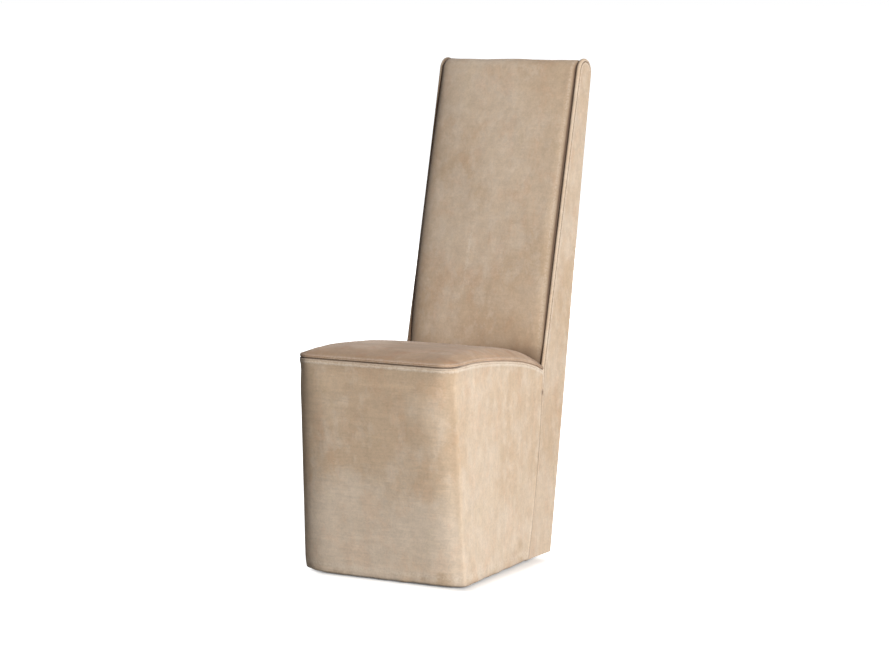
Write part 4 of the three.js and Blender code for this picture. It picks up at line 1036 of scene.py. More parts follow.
def skirt_cover(c):
    """Front and both sides of the base in one wrap, from the turned hem up to the seat seam."""
    flat = [1 - (1 - TURN_SHARE) * (1 - share) ** SIDE_GROWTH for share in steps(SIDE_STEPS, 1)]
    side = [*SIDE_TURN, *flat]
    front = [mix(-FLAT_SHARE, FLAT_SHARE, share) for share in steps(FRONT_STEPS)]
    stations = [("side", -1, s) for s in reversed(side)]
    stations += [("front", 0, -s) for s in reversed(CORNER_TURN)]
    stations += [("front", 0, s) for s in (*front, *CORNER_TURN)]
    stations += [("side", 1, s) for s in side]

    def at(station, z, inset):
        kind, way, share = station
        if kind == "front":
            return front_point(c, share, z, inset)
        x, y = side_point(c, share, z, inset, side_seam_y(c, z) - c.seam_gap / 2)
        return way * x, y

    turns = [share * math.pi / 2 for share in steps(SKIRT_HEM_TURNS, 1)]
    rows = hem_rows(c, SKIRT_HEM_MIDDLE, c.hem_roll, turns)
    rows += [("wall", share, 0.0) for share in steps(SKIRT_ROWS, 1)]
    rows += [("seam", drop, lift) for drop, lift in SKIRT_SEAM[1:]]
    widest = SKIRT_SEAM[0][0]

    def place(station, row):
        kind, first, second = row
        rough = at(station, c.rear_height, 0.0)[1]
        top = seam_z(c, rough) - c.seam_gap
        if kind == "hem":
            z, inset = c.hem + second, first
        elif kind == "wall":
            z, inset = mix(c.hem + c.hem_roll, top - widest, first), 0.0
        else:
            z, inset = top - first, -second
        x, y = at(station, z, inset)
        return x, y + c.front, z

    obj = stretched_grid("leather_skirt_cover", stations, rows, place)
    points = points_of(obj)
    face_towards(obj, (points - (0.0, c.front + SKIRT_MIDDLE, 0.0)) * (1.0, 1.0, 0.0))
    out = normals_of(obj)
    x, y, z = points.T
    y = y - c.front
    wide = np.abs(x)
    fields = {
        "points": points, "x": x, "wide": wide, "y": y, "z": z, "over_hem": z - c.hem,
        "below": each(seam_z, c, y) - z, "rear": each(side_seam_y, c, z) - y,
        "folds": np.sin((wide * FOLD_LEAN + z) * FOLD_RATE),
    }
    points = points + out * field_sum(fields, SKIRT_LIFT)[:, None]
    points[:, 1] += each(soft_corner, c, x, y, z) * ramp(fields["below"], 0.0, CORNER_EASE)
    points += np.outer(field_sum(fields, HEM_CURL), HEM_CURL_MOVE)
    move_points(obj, points)
    on_front = ramp(-out[:, 1], *FACING_FRONT)
    fields.update(
        points=points, on_front=on_front, off_front=1 - on_front,
        turned=np.arctan2(np.abs(out[:, 0]), -out[:, 1]),
        pucker=pucker_distance(c, y, z), near_pucker=ramp(z, c.rear_height, PUCKER_HEIGHT),
        stains=sum(
            bell(np.linalg.norm(points - (0, c.front, 0) - spot, axis=1), radius) * strength
            for spot, radius, strength in STAINS_AND_SHADE
        ),
    )
    return finish_cover(c, obj, fields, SKIRT_LOOKS)


CORNER_FADE = 0.3


def soft_corner(c, x, y, z):
    """How far the padding moves the base's front back from its solid there, or ahead of it."""
    radius = corner_radius(c, z)
    from_side = max(half_at(c, y, z) - abs(x), 0.0)
    own = radius - math.sqrt(radius**2 - max(radius - from_side, 0.0) ** 2)
    share = max(c.corner_width - from_side, 0.0) / c.corner_width
    soft = c.corner_depth * radius * (1 - math.sqrt(1 - share**2))
    return (soft - own - c.front_crown) * clamp((radius - y + front_y(c, z)) / (CORNER_FADE * radius))


def seat_plan(c, s, t, inset, z):
    """A point of the seat: s goes across from -1 to 1, t from the front to the back."""
    rear = c.seat_depth - SEAT_REAR_GAP
    front = front_point(c, s, z, inset)
    side = side_point(c, t, z, inset, rear)
    front_corner = front_point(c, 1, z, inset)
    rear_corner = side_point(c, 1, z, inset, rear)
    x = (1 - t) * front[0] + t * s * rear_corner[0] + s * side[0]
    x -= s * ((1 - t) * front_corner[0] + t * rear_corner[0])
    y = (1 - t) * front[1] + t * rear + side[1] - (1 - t) * front_corner[1] - t * rear_corner[1]
    return x, y


# The seat's grid: shares that each ring of the edge takes, then steps and how they grow
RING_ACROSS, RING_ALONG = 0.0055, 0.003
SEAT_COLUMNS, COLUMN_GROWTH = 56, 0.8
SEAT_ROWS, ROW_GROWTH = 96, 1.15
SEAT_REAR_GAP = 0.0005
# How the crown swells: power towards the sides, towards the front, and parts along the seat
SWELL_ACROSS, SWELL_FRONT = 8, 12
SWELL_ALONG = ((0.74, 0), (0.42, 1), (-0.06, 5))
SEAT_DOUBLES = 0.00002
SEAT_REACH = 0.0016

# Marks on the seat. Its fields are points, x, y, above (the seat seam), back (ahead of the inside
# back) and patches.
SEAT_FREE = (("ramp", "above", 0.0085, 0.016), ("ramp", "back", 0.004, 0.03))
SEAT_EDGE = ("bell", "above", 0.0, 0.0022)
SEAT_LIFT = (
    (0.0014, ("wave", "points", PLAIN, 9.0, 12), *SEAT_FREE),
    (0.0005, ("wave", "points", PLAIN, 24.0, 14), *SEAT_FREE),
)
SEAT_PATCHES = ((1.0, 2.5, 1.0), 11.0, 17)
SEAT_LOOKS = {
    "shade": (
        # The dark seat seam, painted far darker on the front, which lies in shade, than on the sides
        (0.08, SEAT_EDGE), (0.72, SEAT_EDGE, NEAR_SEAT_FRONT),
        # A darker band above the seam on the front; painted shade where the seat runs in under the back
        (0.12, ("bell", "above", 0.011, 0.005), NEAR_SEAT_FRONT), (0.5, ("fade", "back", 0.0, 0.012)),
        (0.12, ("ramp", "patches", 0.0, 0.5)),
        # Painted shade near the back, towards the sitter's left
        (0.10, ("ramp", "x", 0.0, 0.15), ("fade", "back", 0.0, 0.08)),
    ),
    "wear": ((0.5, ("bell", "above", 0.0026, 0.0011)), (0.5, ("bell", "above", 0.0068, 0.0014))),
    "warmth": (
        (0.1,), (0.4, ("fade", "back", 0.0, 0.07)), (0.5, ("ramp", "x", -0.08, 0.12)),
        (0.4, ("fade", "y", 0.0, 0.04)), (1.1, "patches"),
    ),
    "upright": ((0.4,),),
}


def seat_cover(c):
    """The seat's top, from the seam over the rolled edge to where it goes under the back."""
    rings = SEAT_RINGS
    edge = [1 - RING_ACROSS * k for k in range(rings)]
    inner = [
        edge[-1] * math.sin(math.pi / 2 * (1 - share)) ** COLUMN_GROWTH
        for share in steps(SEAT_COLUMNS, 1)
    ]
    half = [(k, s) for k, s in enumerate(edge)] + [(rings, s) for s in inner[:-1]]
    across = [(k, -s) for k, s in half] + [(rings, 0.0)] + [(k, s) for k, s in reversed(half)]
    along = [(k, RING_ALONG * k) for k in range(rings)]
    along += [(rings, mix(RING_ALONG * rings, 1.0, share**ROW_GROWTH)) for share in steps(SEAT_ROWS)]

    def place(column, row):
        (ring_x, s), (ring_y, t) = column, row
        ring = min(ring_x, ring_y)
        if ring < rings:
            inset, rise = SEAT_SEAM[ring]
            if ring_x <= ring_y:
                s = math.copysign(1.0, s)
            else:
                t = 0.0
        else:
            inset = 0.0
            swell = (1 - abs(s) ** SWELL_ACROSS) * (1 - (1 - t) ** SWELL_FRONT)
            rise = c.edge_rise + c.crown * swell * powers(t, SWELL_ALONG)
        rough = seam_z(c, seat_plan(c, s, t, inset, c.seam_height)[1]) + rise
        x, y = seat_plan(c, s, t, inset, min(rough, c.seam_height))
        y += t * t * (rough - c.rear_height) * c.tan_front
        return x, y + c.front, seam_z(c, y) + rise

    obj = stretched_grid("leather_seat_cover", across, along, place)
    mend(obj, SEAT_DOUBLES)
    points = points_of(obj)
    face_towards(obj, UP)
    x, y, z = points.T
    y = y - c.front
    fields = {"x": x, "y": y, "above": z - each(seam_z, c, y), "back": each(crease_y, c, z) - y}
    fill_out(obj, field_sum(fields, ((1.0, *SEAT_FREE),)), c.filling, SEAT_REACH)
    points = points_of(obj)
    fields["points"] = points
    points[:, 2] += field_sum(fields, SEAT_LIFT)
    move_points(obj, points)
    fields["patches"] = wave(points, *SEAT_PATCHES)
    return finish_cover(c, obj, fields, SEAT_LOOKS)


# Rows up the pad, over its top and down behind, and gaps that its foot keeps
PAD_ROWS, TOP_ROWS, TAIL_ROWS = 140, 28, 3
PAD_FOOT_AHEAD, PAD_FOOT_GAP = 0.002, 0.0005
# Powers by which the pad's swell begins at the foot and ends at the top
BULGE_FOOT, BULGE_TOP = 8, 3
TUCK_ENDING = 0.6
TAIL_ROLL = 0.003


def pad_profile(c):
    """Places up the front of the back pad, over its top and down behind."""
    foot_z = rail_top(c, c.seat_depth - PAD_FOOT_AHEAD) + c.pad_height + PAD_FOOT_GAP
    foot_y = crease_y(c, foot_z, PAD_FOOT_GAP)
    to_y, to_z = c.pad_y - foot_y, c.pad_z - foot_z
    reach = math.hypot(to_y, to_z)
    lean = math.atan2(to_z, to_y) + math.asin(c.pad_radius / reach)
    run = math.sqrt(reach**2 - c.pad_radius**2)
    inward = (math.sin(lean), -math.cos(lean))
    bulge_start = c.rear_height + c.edge_rise + c.crown
    places = []
    for share in steps(PAD_ROWS):
        z = foot_z + share * run * math.sin(lean)
        y = foot_y + share * run * math.cos(lean)
        rise = between(z, bulge_start, c.pad_z)
        bulge = c.pad_bulge * (1 - (1 - rise) ** BULGE_FOOT) * (1 - rise**BULGE_TOP)
        roll = mix(c.roll_low, c.roll_high, rise)
        places.append((y - bulge * inward[0], z - bulge * inward[1], inward, roll, c.tuck, rise))
    start, stop = lean + math.pi / 2, -c.rear_rake
    for share in steps(TOP_ROWS, 1):
        turn = mix(start, stop, share)
        inward = (-math.cos(turn), -math.sin(turn))
        ending = between(share, TUCK_ENDING, 1.0)
        y = c.pad_y - c.pad_radius * inward[0]
        z = c.pad_z - c.pad_radius * inward[1]
        places.append((y, z, inward, mix(c.roll_high, TAIL_ROLL, ending), c.tuck * (1 - ending), 1.0))
    y, z, inward, roll, tuck, rise = places[-1]
    for share in steps(TAIL_ROWS, 1):
        drop = c.tail * share
        places.append((y - drop * c.tan_rear, z - drop, inward, roll, tuck, rise))
    return places


ROLL_TURNS = (12, 26, 40, 54, 68, 80, 90)
BACK_COLUMNS = 66
# Width of the rolled side at the top over its radius, and the shares of the height it changes over
TOP_SPREAD, SPREAD_CHANGE = 0.7, (0.9, 0.98)
# Where the pad's crown begins, as a share of its rise, and how far under the top it ends
CROWN_BEGINS, CROWN_ENDS = 0.125, 0.06
TOP_MIDDLE, TOP_MIDDLE_WIDTH = 0.03, 0.07
TOP_CORNER = (0.10, 0.15)
FACING_UP = (0.3, 0.8)
TOP_LEAN = 0.25
BACK_REACH = 0.004
WARM_BLOT = (0.105, 0.54)
# A soft crease up the middle: where it crosses this height, and how it leans
CREASE_X, CREASE_Z, CREASE_LEAN = -0.043, 0.575, 0.05

# Marks on the inside back. Its fields are points, x, z, side (in from the pad's side), above (the
# seat's crown), under_top, front (not behind the top), crease (distance) and from_blot.
BACK_FREE = (
    ("ramp", "side", 0.012, 0.04), ("ramp", "above", 0.01, 0.06), ("ramp", "under_top", 0.012, 0.06),
)
BACK_FLAT = (("ramp", "side", 0.004, 0.024), ("ramp", "above", 0.0, 0.03))
# Painted shade, browner, where the pad meets the seat towards the sitter's left
PAINTED_FOOT_SHADE = (("fade", "above", 0.018, 0.018), "front", ("ramp", "x", -0.06, 0.10))
BACK_LIFT = (
    (0.0018, ("wave", "points", PLAIN, 8.0, 21), *BACK_FLAT),
    (0.0007, ("wave", "points", (1.4, 1.0, 0.6), 19.0, 22), *BACK_FLAT),
)
BACK_LOOKS = {
    "shade": (
        # Painted shade in the creases beside the cheeks, and wider painted shade down the pad's side on
        # the sitter's right, turned from the key lamp
        (0.95, ("fade", "side", 0.0, 0.0030)), (0.6, ("fade", "side", 0.0, 0.028), ("under", "x", 0.0)),
        # Painted shade along the foot of the pad, above the seat
        (0.75, ("fade", "above", 0.0, 0.014), "front", ("ramp", "side", -0.02, 0.04)),
        (0.34, *PAINTED_FOOT_SHADE),
    ),
    "wear": (
        (0.2, ("bell", "side", 0.007, 0.004)),
        (0.3, ("bell", "crease", 0.0, 0.0045), ("bell", "z", 0.69, 0.09), "front"),
    ),
    "warmth": (
        (-0.12,), (0.42, ("ramp", "above", 0.2, -0.0625)), (0.3, ("fade", "side", 0.0, 0.03)),
        (0.35, ("bell", "above", 0.62, 0.09), ("ramp", "x", 0.0, 0.13)), (0.35, ("ramp", "x", 0.02, 0.16)),
        # Browner painted shade where the pad meets the seat, then a warm blot
        (0.7, *PAINTED_FOOT_SHADE), (0.5, ("bell", "from_blot", 0.0, 0.035)),
    ),
    "upright": ((0.65,),),
}


def inside_back_cover(c):
    """The front of the back, over its round top, tucked in beside both cheeks."""
    profile = pad_profile(c)
    roll = [(1.0, math.radians(turn), 0.0) for turn in ROLL_TURNS]
    roll += [(1.0, math.pi / 2, 0.5), (1.0, math.pi / 2, 1.0)]
    across = [(-s, a, k) for s, a, k in reversed(roll)]
    across += [(mix(-1, 1, share), 0.0, 0.0) for share in steps(BACK_COLUMNS)] + roll

    def place(column, row):
        share, turn, tucked = column
        y, z, inward, radius, tuck, rise = row
        spread = mix(c.roll_spread, TOP_SPREAD, between(z / c.overall_height, *SPREAD_CHANGE))
        wide = radius * spread
        x = share * (c.pad_half - wide) + math.copysign(wide * math.sin(turn), share)
        stuffed = between(rise, 0.0, CROWN_BEGINS) * clamp(inward[0])
        stuffed *= between(c.overall_height - z, 0.0, CROWN_ENDS) ** 0.5
        sink = c.roll_depth * radius * (1 - math.cos(turn)) + tucked * tuck
        sink -= c.pad_crown * (1 - (x / c.pad_half) ** 2) * stuffed
        fuller = c.pad_top + c.pad_top_middle * float(bell(x - TOP_MIDDLE, TOP_MIDDLE_WIDTH))
        fuller += c.pad_top_corner * between(-x, *TOP_CORNER)
        sink -= fuller * between(-inward[1], *FACING_UP)
        return x, y + sink * inward[0] + c.front, z + sink * inward[1]

    obj = stretched_grid("leather_inside_back_cover", across, profile, place)
    face_towards(obj, AHEAD)
    x, y, z = points_of(obj).T
    fields = {
        "side": c.pad_half - np.abs(x), "above": z - c.rear_height - c.crown,
        "under_top": c.overall_height - z, "front": y < c.front + c.pad_y + (z - c.pad_z) * TOP_LEAN,
    }
    fill_out(obj, field_sum(fields, ((1.0, "front", *BACK_FREE),)), c.filling, BACK_REACH)
    points = points_of(obj)
    fields["points"] = points
    points = points + normals_of(obj) * field_sum(fields, BACK_LIFT)[:, None]
    move_points(obj, points)
    x, y, z = points.T
    fields.update(
        x=x, z=z, crease=x - CREASE_X - CREASE_LEAN * (z - CREASE_Z),
        from_blot=np.hypot(x - WARM_BLOT[0], z - WARM_BLOT[1]),
    )
    return finish_cover(c, obj, fields, BACK_LOOKS)


REAR_COLUMNS, REAR_ROWS = 60, 180
REAR_HEM_TURNS = (0.5, 1.0, 1.571)
REAR_HEM_MIDDLE, REAR_HEM_ROLL = 0.012, 0.004
REAR_LIFT_MOST = 0.0008

# Marks on the outside back. Its fields are points, z, over_hem and edge (in from the edge).
REAR_FREE = (("ramp", "edge", 0.0, 0.03), ("ramp", "over_hem", 0.0, 0.02))
REAR_LIFT = (
    (0.0012, ("wave", "points", (1.0, 1.0, 0.5), 9.0, 31), *REAR_FREE), (-0.00048, *REAR_FREE),
    (0.0010, ("wave", "points", PLAIN, 36.0, 33), NEAR_HEM, ("ramp", "edge", 0.0, 0.02)),
)
REAR_LOOKS = {
    "shade": ((0.7, ("fade", "edge", 0.0, 0.0018)),),
    "wear": ((0.35, ("bell", "edge", 0.0045, 0.0026)),),
    "warmth": ((0.25,), (-0.5, ("ramp", "z", 0.05, 0.9))),
    "upright": ((0.65,),),
}


def outside_back_cover(c):
    """The flat leather of the rear face, with its hem turned in under the frame."""
    across = [mix(-1, 1, share) for share in steps(REAR_COLUMNS)]
    rows = hem_rows(c, REAR_HEM_MIDDLE, REAR_HEM_ROLL, REAR_HEM_TURNS)
    rows += [("wall", share, 0.0) for share in steps(REAR_ROWS, 1)]

    def place(s, row):
        kind, first, second = row
        z = c.hem + second if kind == "hem" else mix(c.hem + REAR_HEM_ROLL, c.rear_top, first)
        inset = first if kind == "hem" else 0.0
        return s * c.rear_half, rear_y(c, z, c.recess) - inset + c.front, z

    obj = stretched_grid("leather_outside_back_cover", across, rows, place)
    face_towards(obj, BEHIND)
    points = points_of(obj)
    x, _, z = points.T
    edge = np.minimum(c.rear_half - np.abs(x), c.rear_top - z)
    fields = {"points": points, "z": z, "over_hem": z - c.hem, "edge": edge}
    points[:, 1] += np.minimum(field_sum(fields, REAR_LIFT), REAR_LIFT_MOST)
    move_points(obj, points)
    return finish_cover(c, obj, fields, REAR_LOOKS)


SEAM_STEPS, ARC_STEPS, UPPER_STEPS, REAR_STEPS = 180, 36, 120, 192


def cheek_outline(c, inset, bottom):
    """Points up the front edge, over the round top and down the rear edge."""
    lower = []
    for share in steps(SEAM_STEPS):
        z = mix(bottom, c.rear_height, share)
        lower.append((side_seam_y(c, z) + c.seam_gap / 2 + inset, z))
    arm = c.cheek_radius - inset
    arc = []
    for share in steps(ARC_STEPS):
        angle = mix(math.pi - c.front_rake, -c.rear_rake, share)
        arc.append((c.cheek_y + arm * math.cos(angle), c.cheek_z + arm * math.sin(angle)))
    upper = [
        (mix(lower[-1][0], arc[0][0], share), mix(lower[-1][1], arc[0][1], share))
        for share in steps(UPPER_STEPS, 1)
    ]
    heights = [mix(arc[-1][1], bottom, share) for share in steps(REAR_STEPS, 1)]
    return lower, upper, arc[1:], [(rear_y(c, z, inset), z) for z in heights]


NOSE_STEPS, CHEEK_COLUMNS = 10, 20
TURNED_IN = (0.014, 0.008)
FLAT_INSETS = (
    0.0053, 0.0061, 0.0067, 0.0071, 0.0075, 0.0079, 0.0084, 0.0093, 0.0106, 0.013, 0.018,
)
CHEEK_DOUBLES = 0.0002
ON_FACE = 0.00001
CHEEK_LIFT_MOST = 0.0011
PUCKER_RAYS = 7
CLOUD_SCALE, CLOUD_SEED = 8.0, 41
# How strongly shade is painted on the front edge beside the pad, on the sitter's right and left cheek; on
# the right it stands for the pad's shadow
EDGE_SHADE_RIGHT, EDGE_SHADE_LEFT = 0.75, 0.1

# Marks on a cheek. Its fields are points, z, over_hem, inset (in from the edge), from_face (in from
# the outer face), stitched, below_seat, the painted shade of the front edge, whether it is the left
# cheek (the one the key lamp lights), under_dome, clouds, rays, pucker (distance) and near_pucker.
GROOVE = (("bell", "inset", EDGE_STITCH_INSET, 0.0016), "stitched")
RAYS = ("rays", ("bell", "pucker", 0.0, 0.014))
CHEEK_LIFT = (
    (0.0010, "clouds", ("ramp", "inset", 0.02, 0.04)),
    (0.0004, ("wave", "points", (1.0, 1.0, 0.5), 26.0, 44), ("ramp", "inset", 0.02, 0.04)),
    (0.0007, ("bell", "inset", EDGE_STITCH_INSET + 0.0032, 0.0018), "stitched"),
    (-0.0016, *GROOVE), (-0.0026, ("bell", "pucker", 0.0, 0.0035)),
    (0.0007, *RAYS), (-0.0007, *RAYS, ("bell", "pucker", 0.0, 0.004)),
    (0.0009, ("wave", "points", PLAIN, 36.0, 47), NEAR_HEM),
    (0.0006, ("bell", "inset", 0.006, 0.004), "below_seat"),
)
OUTER_FACE = ((1.0, ("ramp", "from_face", 0.0015, 0.0003)),)
CHEEK_LOOKS = {
    "shade": (
        # The last mark here is painted shade on the cheek's inner side, in the crease beside the pad
        (0.7, *GROOVE), (0.95, PUCKER_DARK), (0.8, ("ramp", "from_face", 0.0045, 0.0075)),
        (0.8, ("fade", "inset", 0.0, 0.0018), "near_pucker"),
        # Painted shade on the front edge beside the pad, strong on the sitter's right, where the pad's
        # shadow falls
        (1.0, "burnish", ("fade", "inset", 0.0, 0.007), ("ramp", "under_dome", 0.0, 0.08)),
        (0.05, ("ramp", "z", 0.6, 1.1)),
    ),
    "wear": (
        (0.5, ("bell", "inset", EDGE_STITCH_INSET + 0.0035, 0.0018), "stitched"),
        # A pale line on the nose, painted only on the cheek that the key lamp lights: partly wear, partly
        # a painted highlight
        (0.4, ("bell", "inset", 0.0045, 0.0018), ("over", "z", 0.40), "in_view"),
        (0.1, ("bell", "inset", 0.005, 0.003), "below_seat"),
    ),
    "warmth": (),
    "upright": ((0.85,),),
}


def cheek_cover(c, side, name):
    """A cheek's leather: rolled front, top and rear edges and the flat side."""
    nose = (c.back_half - c.cheek_inner) / 2
    rows = [(inset, c.cheek_inner) for inset in TURNED_IN]
    for share in steps(NOSE_STEPS):
        angle = mix(-math.pi / 2, math.pi / 2, share)
        rows.append((nose * (1 - math.cos(angle)), c.cheek_inner + nose * (1 + math.sin(angle))))
    rows += [(inset, c.back_half) for inset in FLAT_INSETS]
    lines = {inset: sum(cheek_outline(c, inset, c.hem), []) for inset, _ in rows}
    count = len(lines[TURNED_IN[0]])

    def dip(z):
        return c.dome_dip * (side < 0) * clamp((z - c.cheek_z) / c.cheek_radius)

    def ring_place(column, row):
        inset, x = row
        y, z = lines[inset][column]
        return side * (x + flare(c, x, z)), y + c.front, z - dip(z)

    rim = stretched_grid(name + "_rim", list(range(count)), rows, ring_place)
    lower, upper, arc, rear = cheek_outline(c, FLAT_INSETS[-1], c.hem)
    outline = lower + upper + arc + rear
    fronts = outline[:len(lower) + len(upper) + len(arc) // 2 + 1]
    rears = list(reversed(outline[len(fronts) - 1:]))

    def walk(line, share):
        gaps = [math.dist(a, b) for a, b in zip(line, line[1:])]
        goal = share * sum(gaps)
        for (a, b), gap in zip(zip(line, line[1:]), gaps):
            if goal <= gap:
                return mix(a[0], b[0], goal / gap), mix(a[1], b[1], goal / gap)
            goal -= gap
        return line[-1]

    rear_path = [walk(rears, share) for share in steps(len(fronts) - 1)]

    def fill_place(share, row):
        a, b = fronts[row], rear_path[row]
        z = mix(a[1], b[1], share)
        across = side * (c.back_half + flare(c, c.back_half, z))
        return across, mix(a[0], b[0], share) + c.front, z - dip(z)

    obj = stretched_grid(name, steps(CHEEK_COLUMNS), list(range(len(fronts))), fill_place)
    pick(obj, rim)
    bpy.ops.object.join()
    mend(obj, CHEEK_DOUBLES)
    points = points_of(obj)
    x, y, z = points.T
    y = y - c.front
    from_face = c.back_half - np.abs(x) + np.array([flare(c, c.back_half, h) for h in z])
    face_towards(obj, np.outer(from_face < ON_FACE, (side, 0.0, 0.0)))
    ahead = y < crease_mid(c, z)
    # Painted shade on this cheek's front edge, strong where the pad's shadow falls
    burnish = EDGE_SHADE_RIGHT if side < 0 else EDGE_SHADE_LEFT
    rays = np.arctan2(z - PUCKER_HEIGHT, y - side_seam_y(c, PUCKER_HEIGHT)) * PUCKER_RAYS
    fields = {
        "points": points, "z": z, "over_hem": z - c.hem, "inset": each(cheek_inset, c, y, z),
        "from_face": from_face, "stitched": (z > EDGE_STITCH_FOOT) * (ahead | (z > c.cheek_z)),
        "below_seat": z < c.rear_height, "burnish": burnish * ahead * (z > c.rear_height),
        "in_view": float(side > 0), "under_dome": c.cheek_z - z, "rays": np.sin(rays),
        "clouds": ruffle(points, CLOUD_SCALE, CLOUD_SEED + side),
        "pucker": pucker_distance(c, y, z), "near_pucker": ramp(z, c.rear_height, PUCKER_HEIGHT),
    }
    lift = np.minimum(field_sum(fields, CHEEK_LIFT), CHEEK_LIFT_MOST)
    points[:, 0] += side * lift * field_sum(fields, OUTER_FACE)
    move_points(obj, points)
    return finish_cover(c, obj, fields, CHEEK_LOOKS)


def pucker_distance(c, y, z):
    """Distance from the pucker where the cheek's stitching ends, on the side seam."""
    return np.hypot(y - side_seam_y(c, PUCKER_HEIGHT) - PUCKER_INSET, z - PUCKER_HEIGHT)


def crease_mid(c, z):
    """Middle of a cheek at each height."""
    return (each(crease_y, c, z) + each(rear_y, c, z)) / 2


NO_LIMIT = 1.0
DOME_ALONE = 0.01


def cheek_inset(c, y, z):
    """Distance of a point in from a cheek's edge."""
    dome = c.cheek_radius - math.hypot(y - c.cheek_y, z - c.cheek_z) if z > c.cheek_z else NO_LIMIT
    if z > c.cheek_z + DOME_ALONE:
        return dome
    if z > c.rear_height:
        front = (y - crease_y(c, z)) * math.cos(c.front_rake)
    else:
        front = y - side_seam_y(c, z)
    return min(front, (rear_y(c, z) - y) * math.cos(c.rear_rake), dome)


# Stuffing and cloth inside


def copy_of(node, name):
    """A copy of a solid, with its loose triangles joined."""
    obj = bpy.data.objects.new(name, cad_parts[node].data.copy())
    bpy.context.collection.objects.link(obj)
    pick(obj)
    if obj.data.has_custom_normals:
        bpy.ops.mesh.customdata_custom_splitnormals_clear()
    mend(obj, LOOSE_GAP)
    return obj


FOAM_WAVE, FOAM_SCALE = 0.4, 26.0
CLOTH_WAVE, CLOTH_SCALE = 0.8, 40.0
SOFT_SHARE, SOFT_ROUNDS = 0.5, 6
# Solids with more faces than this are cut less fine
MANY_FACES = 400
FOAM_ANGLE, CLOTH_ANGLE = 60, 40


def let_in(obj, depth, wave_share, scale, seed):
    """Moves the skin in by about the depth, a little unevenly."""
    points = points_of(obj)
    dip = depth * (1 + wave_share * ruffle(points, scale, seed))
    move_points(obj, points - normals_of(obj) * dip[:, None])


def stuffing(node, name, seed):
    """Cut foam: softened edges and a skin that dips a little, inside its solid."""
    obj = copy_of(node, name)
    skin = obj.modifiers.new("even skin", "REMESH")
    skin.mode = "VOXEL"
    skin.voxel_size = FOAM_VOXEL
    soft = obj.modifiers.new("soft edges", "SMOOTH")
    soft.factor = SOFT_SHARE
    soft.iterations = SOFT_ROUNDS
    apply_all(obj)
    let_in(obj, FOAM_SLACK, FOAM_WAVE, FOAM_SCALE, seed)
    smooth(obj, FOAM_ANGLE)
    return obj


def layer(node, name, seed, slack):
    """A thin layer of wadding or cloth: its solid, cut finer and let in by half the slack."""
    obj = copy_of(node, name)
    finer = obj.modifiers.new("finer", "SUBSURF")
    finer.subdivision_type = "SIMPLE"
    finer.levels = finer.render_levels = 2 if len(obj.data.polygons) > MANY_FACES else 4
    apply_all(obj)
    let_in(obj, slack / 2, CLOTH_WAVE, CLOTH_SCALE, seed)
    smooth(obj, CLOTH_ANGLE)
    return obj


# Stitches


STITCH_SIDES, STITCH_RINGS = 8, 6
# How deep a stitch's ends are drawn in, over its thickness, and how much wider its middle is
END_SINK, END_POWER, MIDDLE_WIDER = 0.7, 4, 0.3
STITCH_ANGLE = 60


def thread_stitch(thread):
    """One stitch along X: a short thread, round and drawn down into the leather at both ends."""
    deselect()
    bpy.ops.mesh.primitive_uv_sphere_add(
        segments=STITCH_SIDES, ring_count=STITCH_RINGS, radius=0.5
    )
    stitch = bpy.context.object
    stitch.name = "stitch"
    pick(stitch)
    bpy.ops.object.mode_set(mode="EDIT")
    bpy.ops.mesh.select_all(action="SELECT")
    bpy.ops.transform.rotate(value=math.pi / 2, orient_axis="Y", center_override=(0.0, 0.0, 0.0))
    bpy.ops.transform.resize(value=(thread.stitch, thread.thickness, thread.thickness))
    bpy.ops.object.mode_set(mode="OBJECT")
    points = points_of(stitch)
    along = points[:, 0] / (thread.stitch / 2)
    points[:, 2] -= thread.thickness * END_SINK * along**END_POWER
    points[:, 1] *= 1 + MIDDLE_WIDER * (1 - along**2)
    move_points(stitch, points)
    return stitch


def stitch_row(name, stitch, path, pitch):
    """Copies the stitch along a path of (point, outward direction)."""
    places = [Vector(point) for point, _ in path]
    walked = [0.0]
    for a, b in zip(places, places[1:]):
        walked.append(walked[-1] + (b - a).length)
    count = int(walked[-1] / pitch)
    pieces = []
    step = 0
    for k in range(count):
        goal = (k + 0.5) * walked[-1] / count
        while walked[step + 1] < goal:
            step += 1
        share = (goal - walked[step]) / (walked[step + 1] - walked[step])
        along = (places[step + 1] - places[step]).normalized()
        out = path[step][1].lerp(path[step + 1][1], share).normalized()
        side = out.cross(along).normalized()
        turn = np.array([along, side, along.cross(side)])
        pieces.append(points_of(stitch) @ turn + np.array(places[step].lerp(places[step + 1], share)))
    faces = [tuple(face.vertices) for face in stitch.data.polygons]
    size = len(stitch.data.vertices)
    mesh = bpy.data.meshes.new(name)
    mesh.from_pydata(
        np.concatenate(pieces).tolist(), [],
        [tuple(v + size * k for v in face) for k in range(count) for face in faces],
    )
    obj = bpy.data.objects.new(name, mesh)
    bpy.context.collection.objects.link(obj)
    smooth(obj, STITCH_ANGLE)
    return obj


SEAM_SIDE_STEPS, SEAM_FRONT_STEPS, SEAM_ROUNDS = 60, 120, 3
SEAM_END_GAP = 0.004


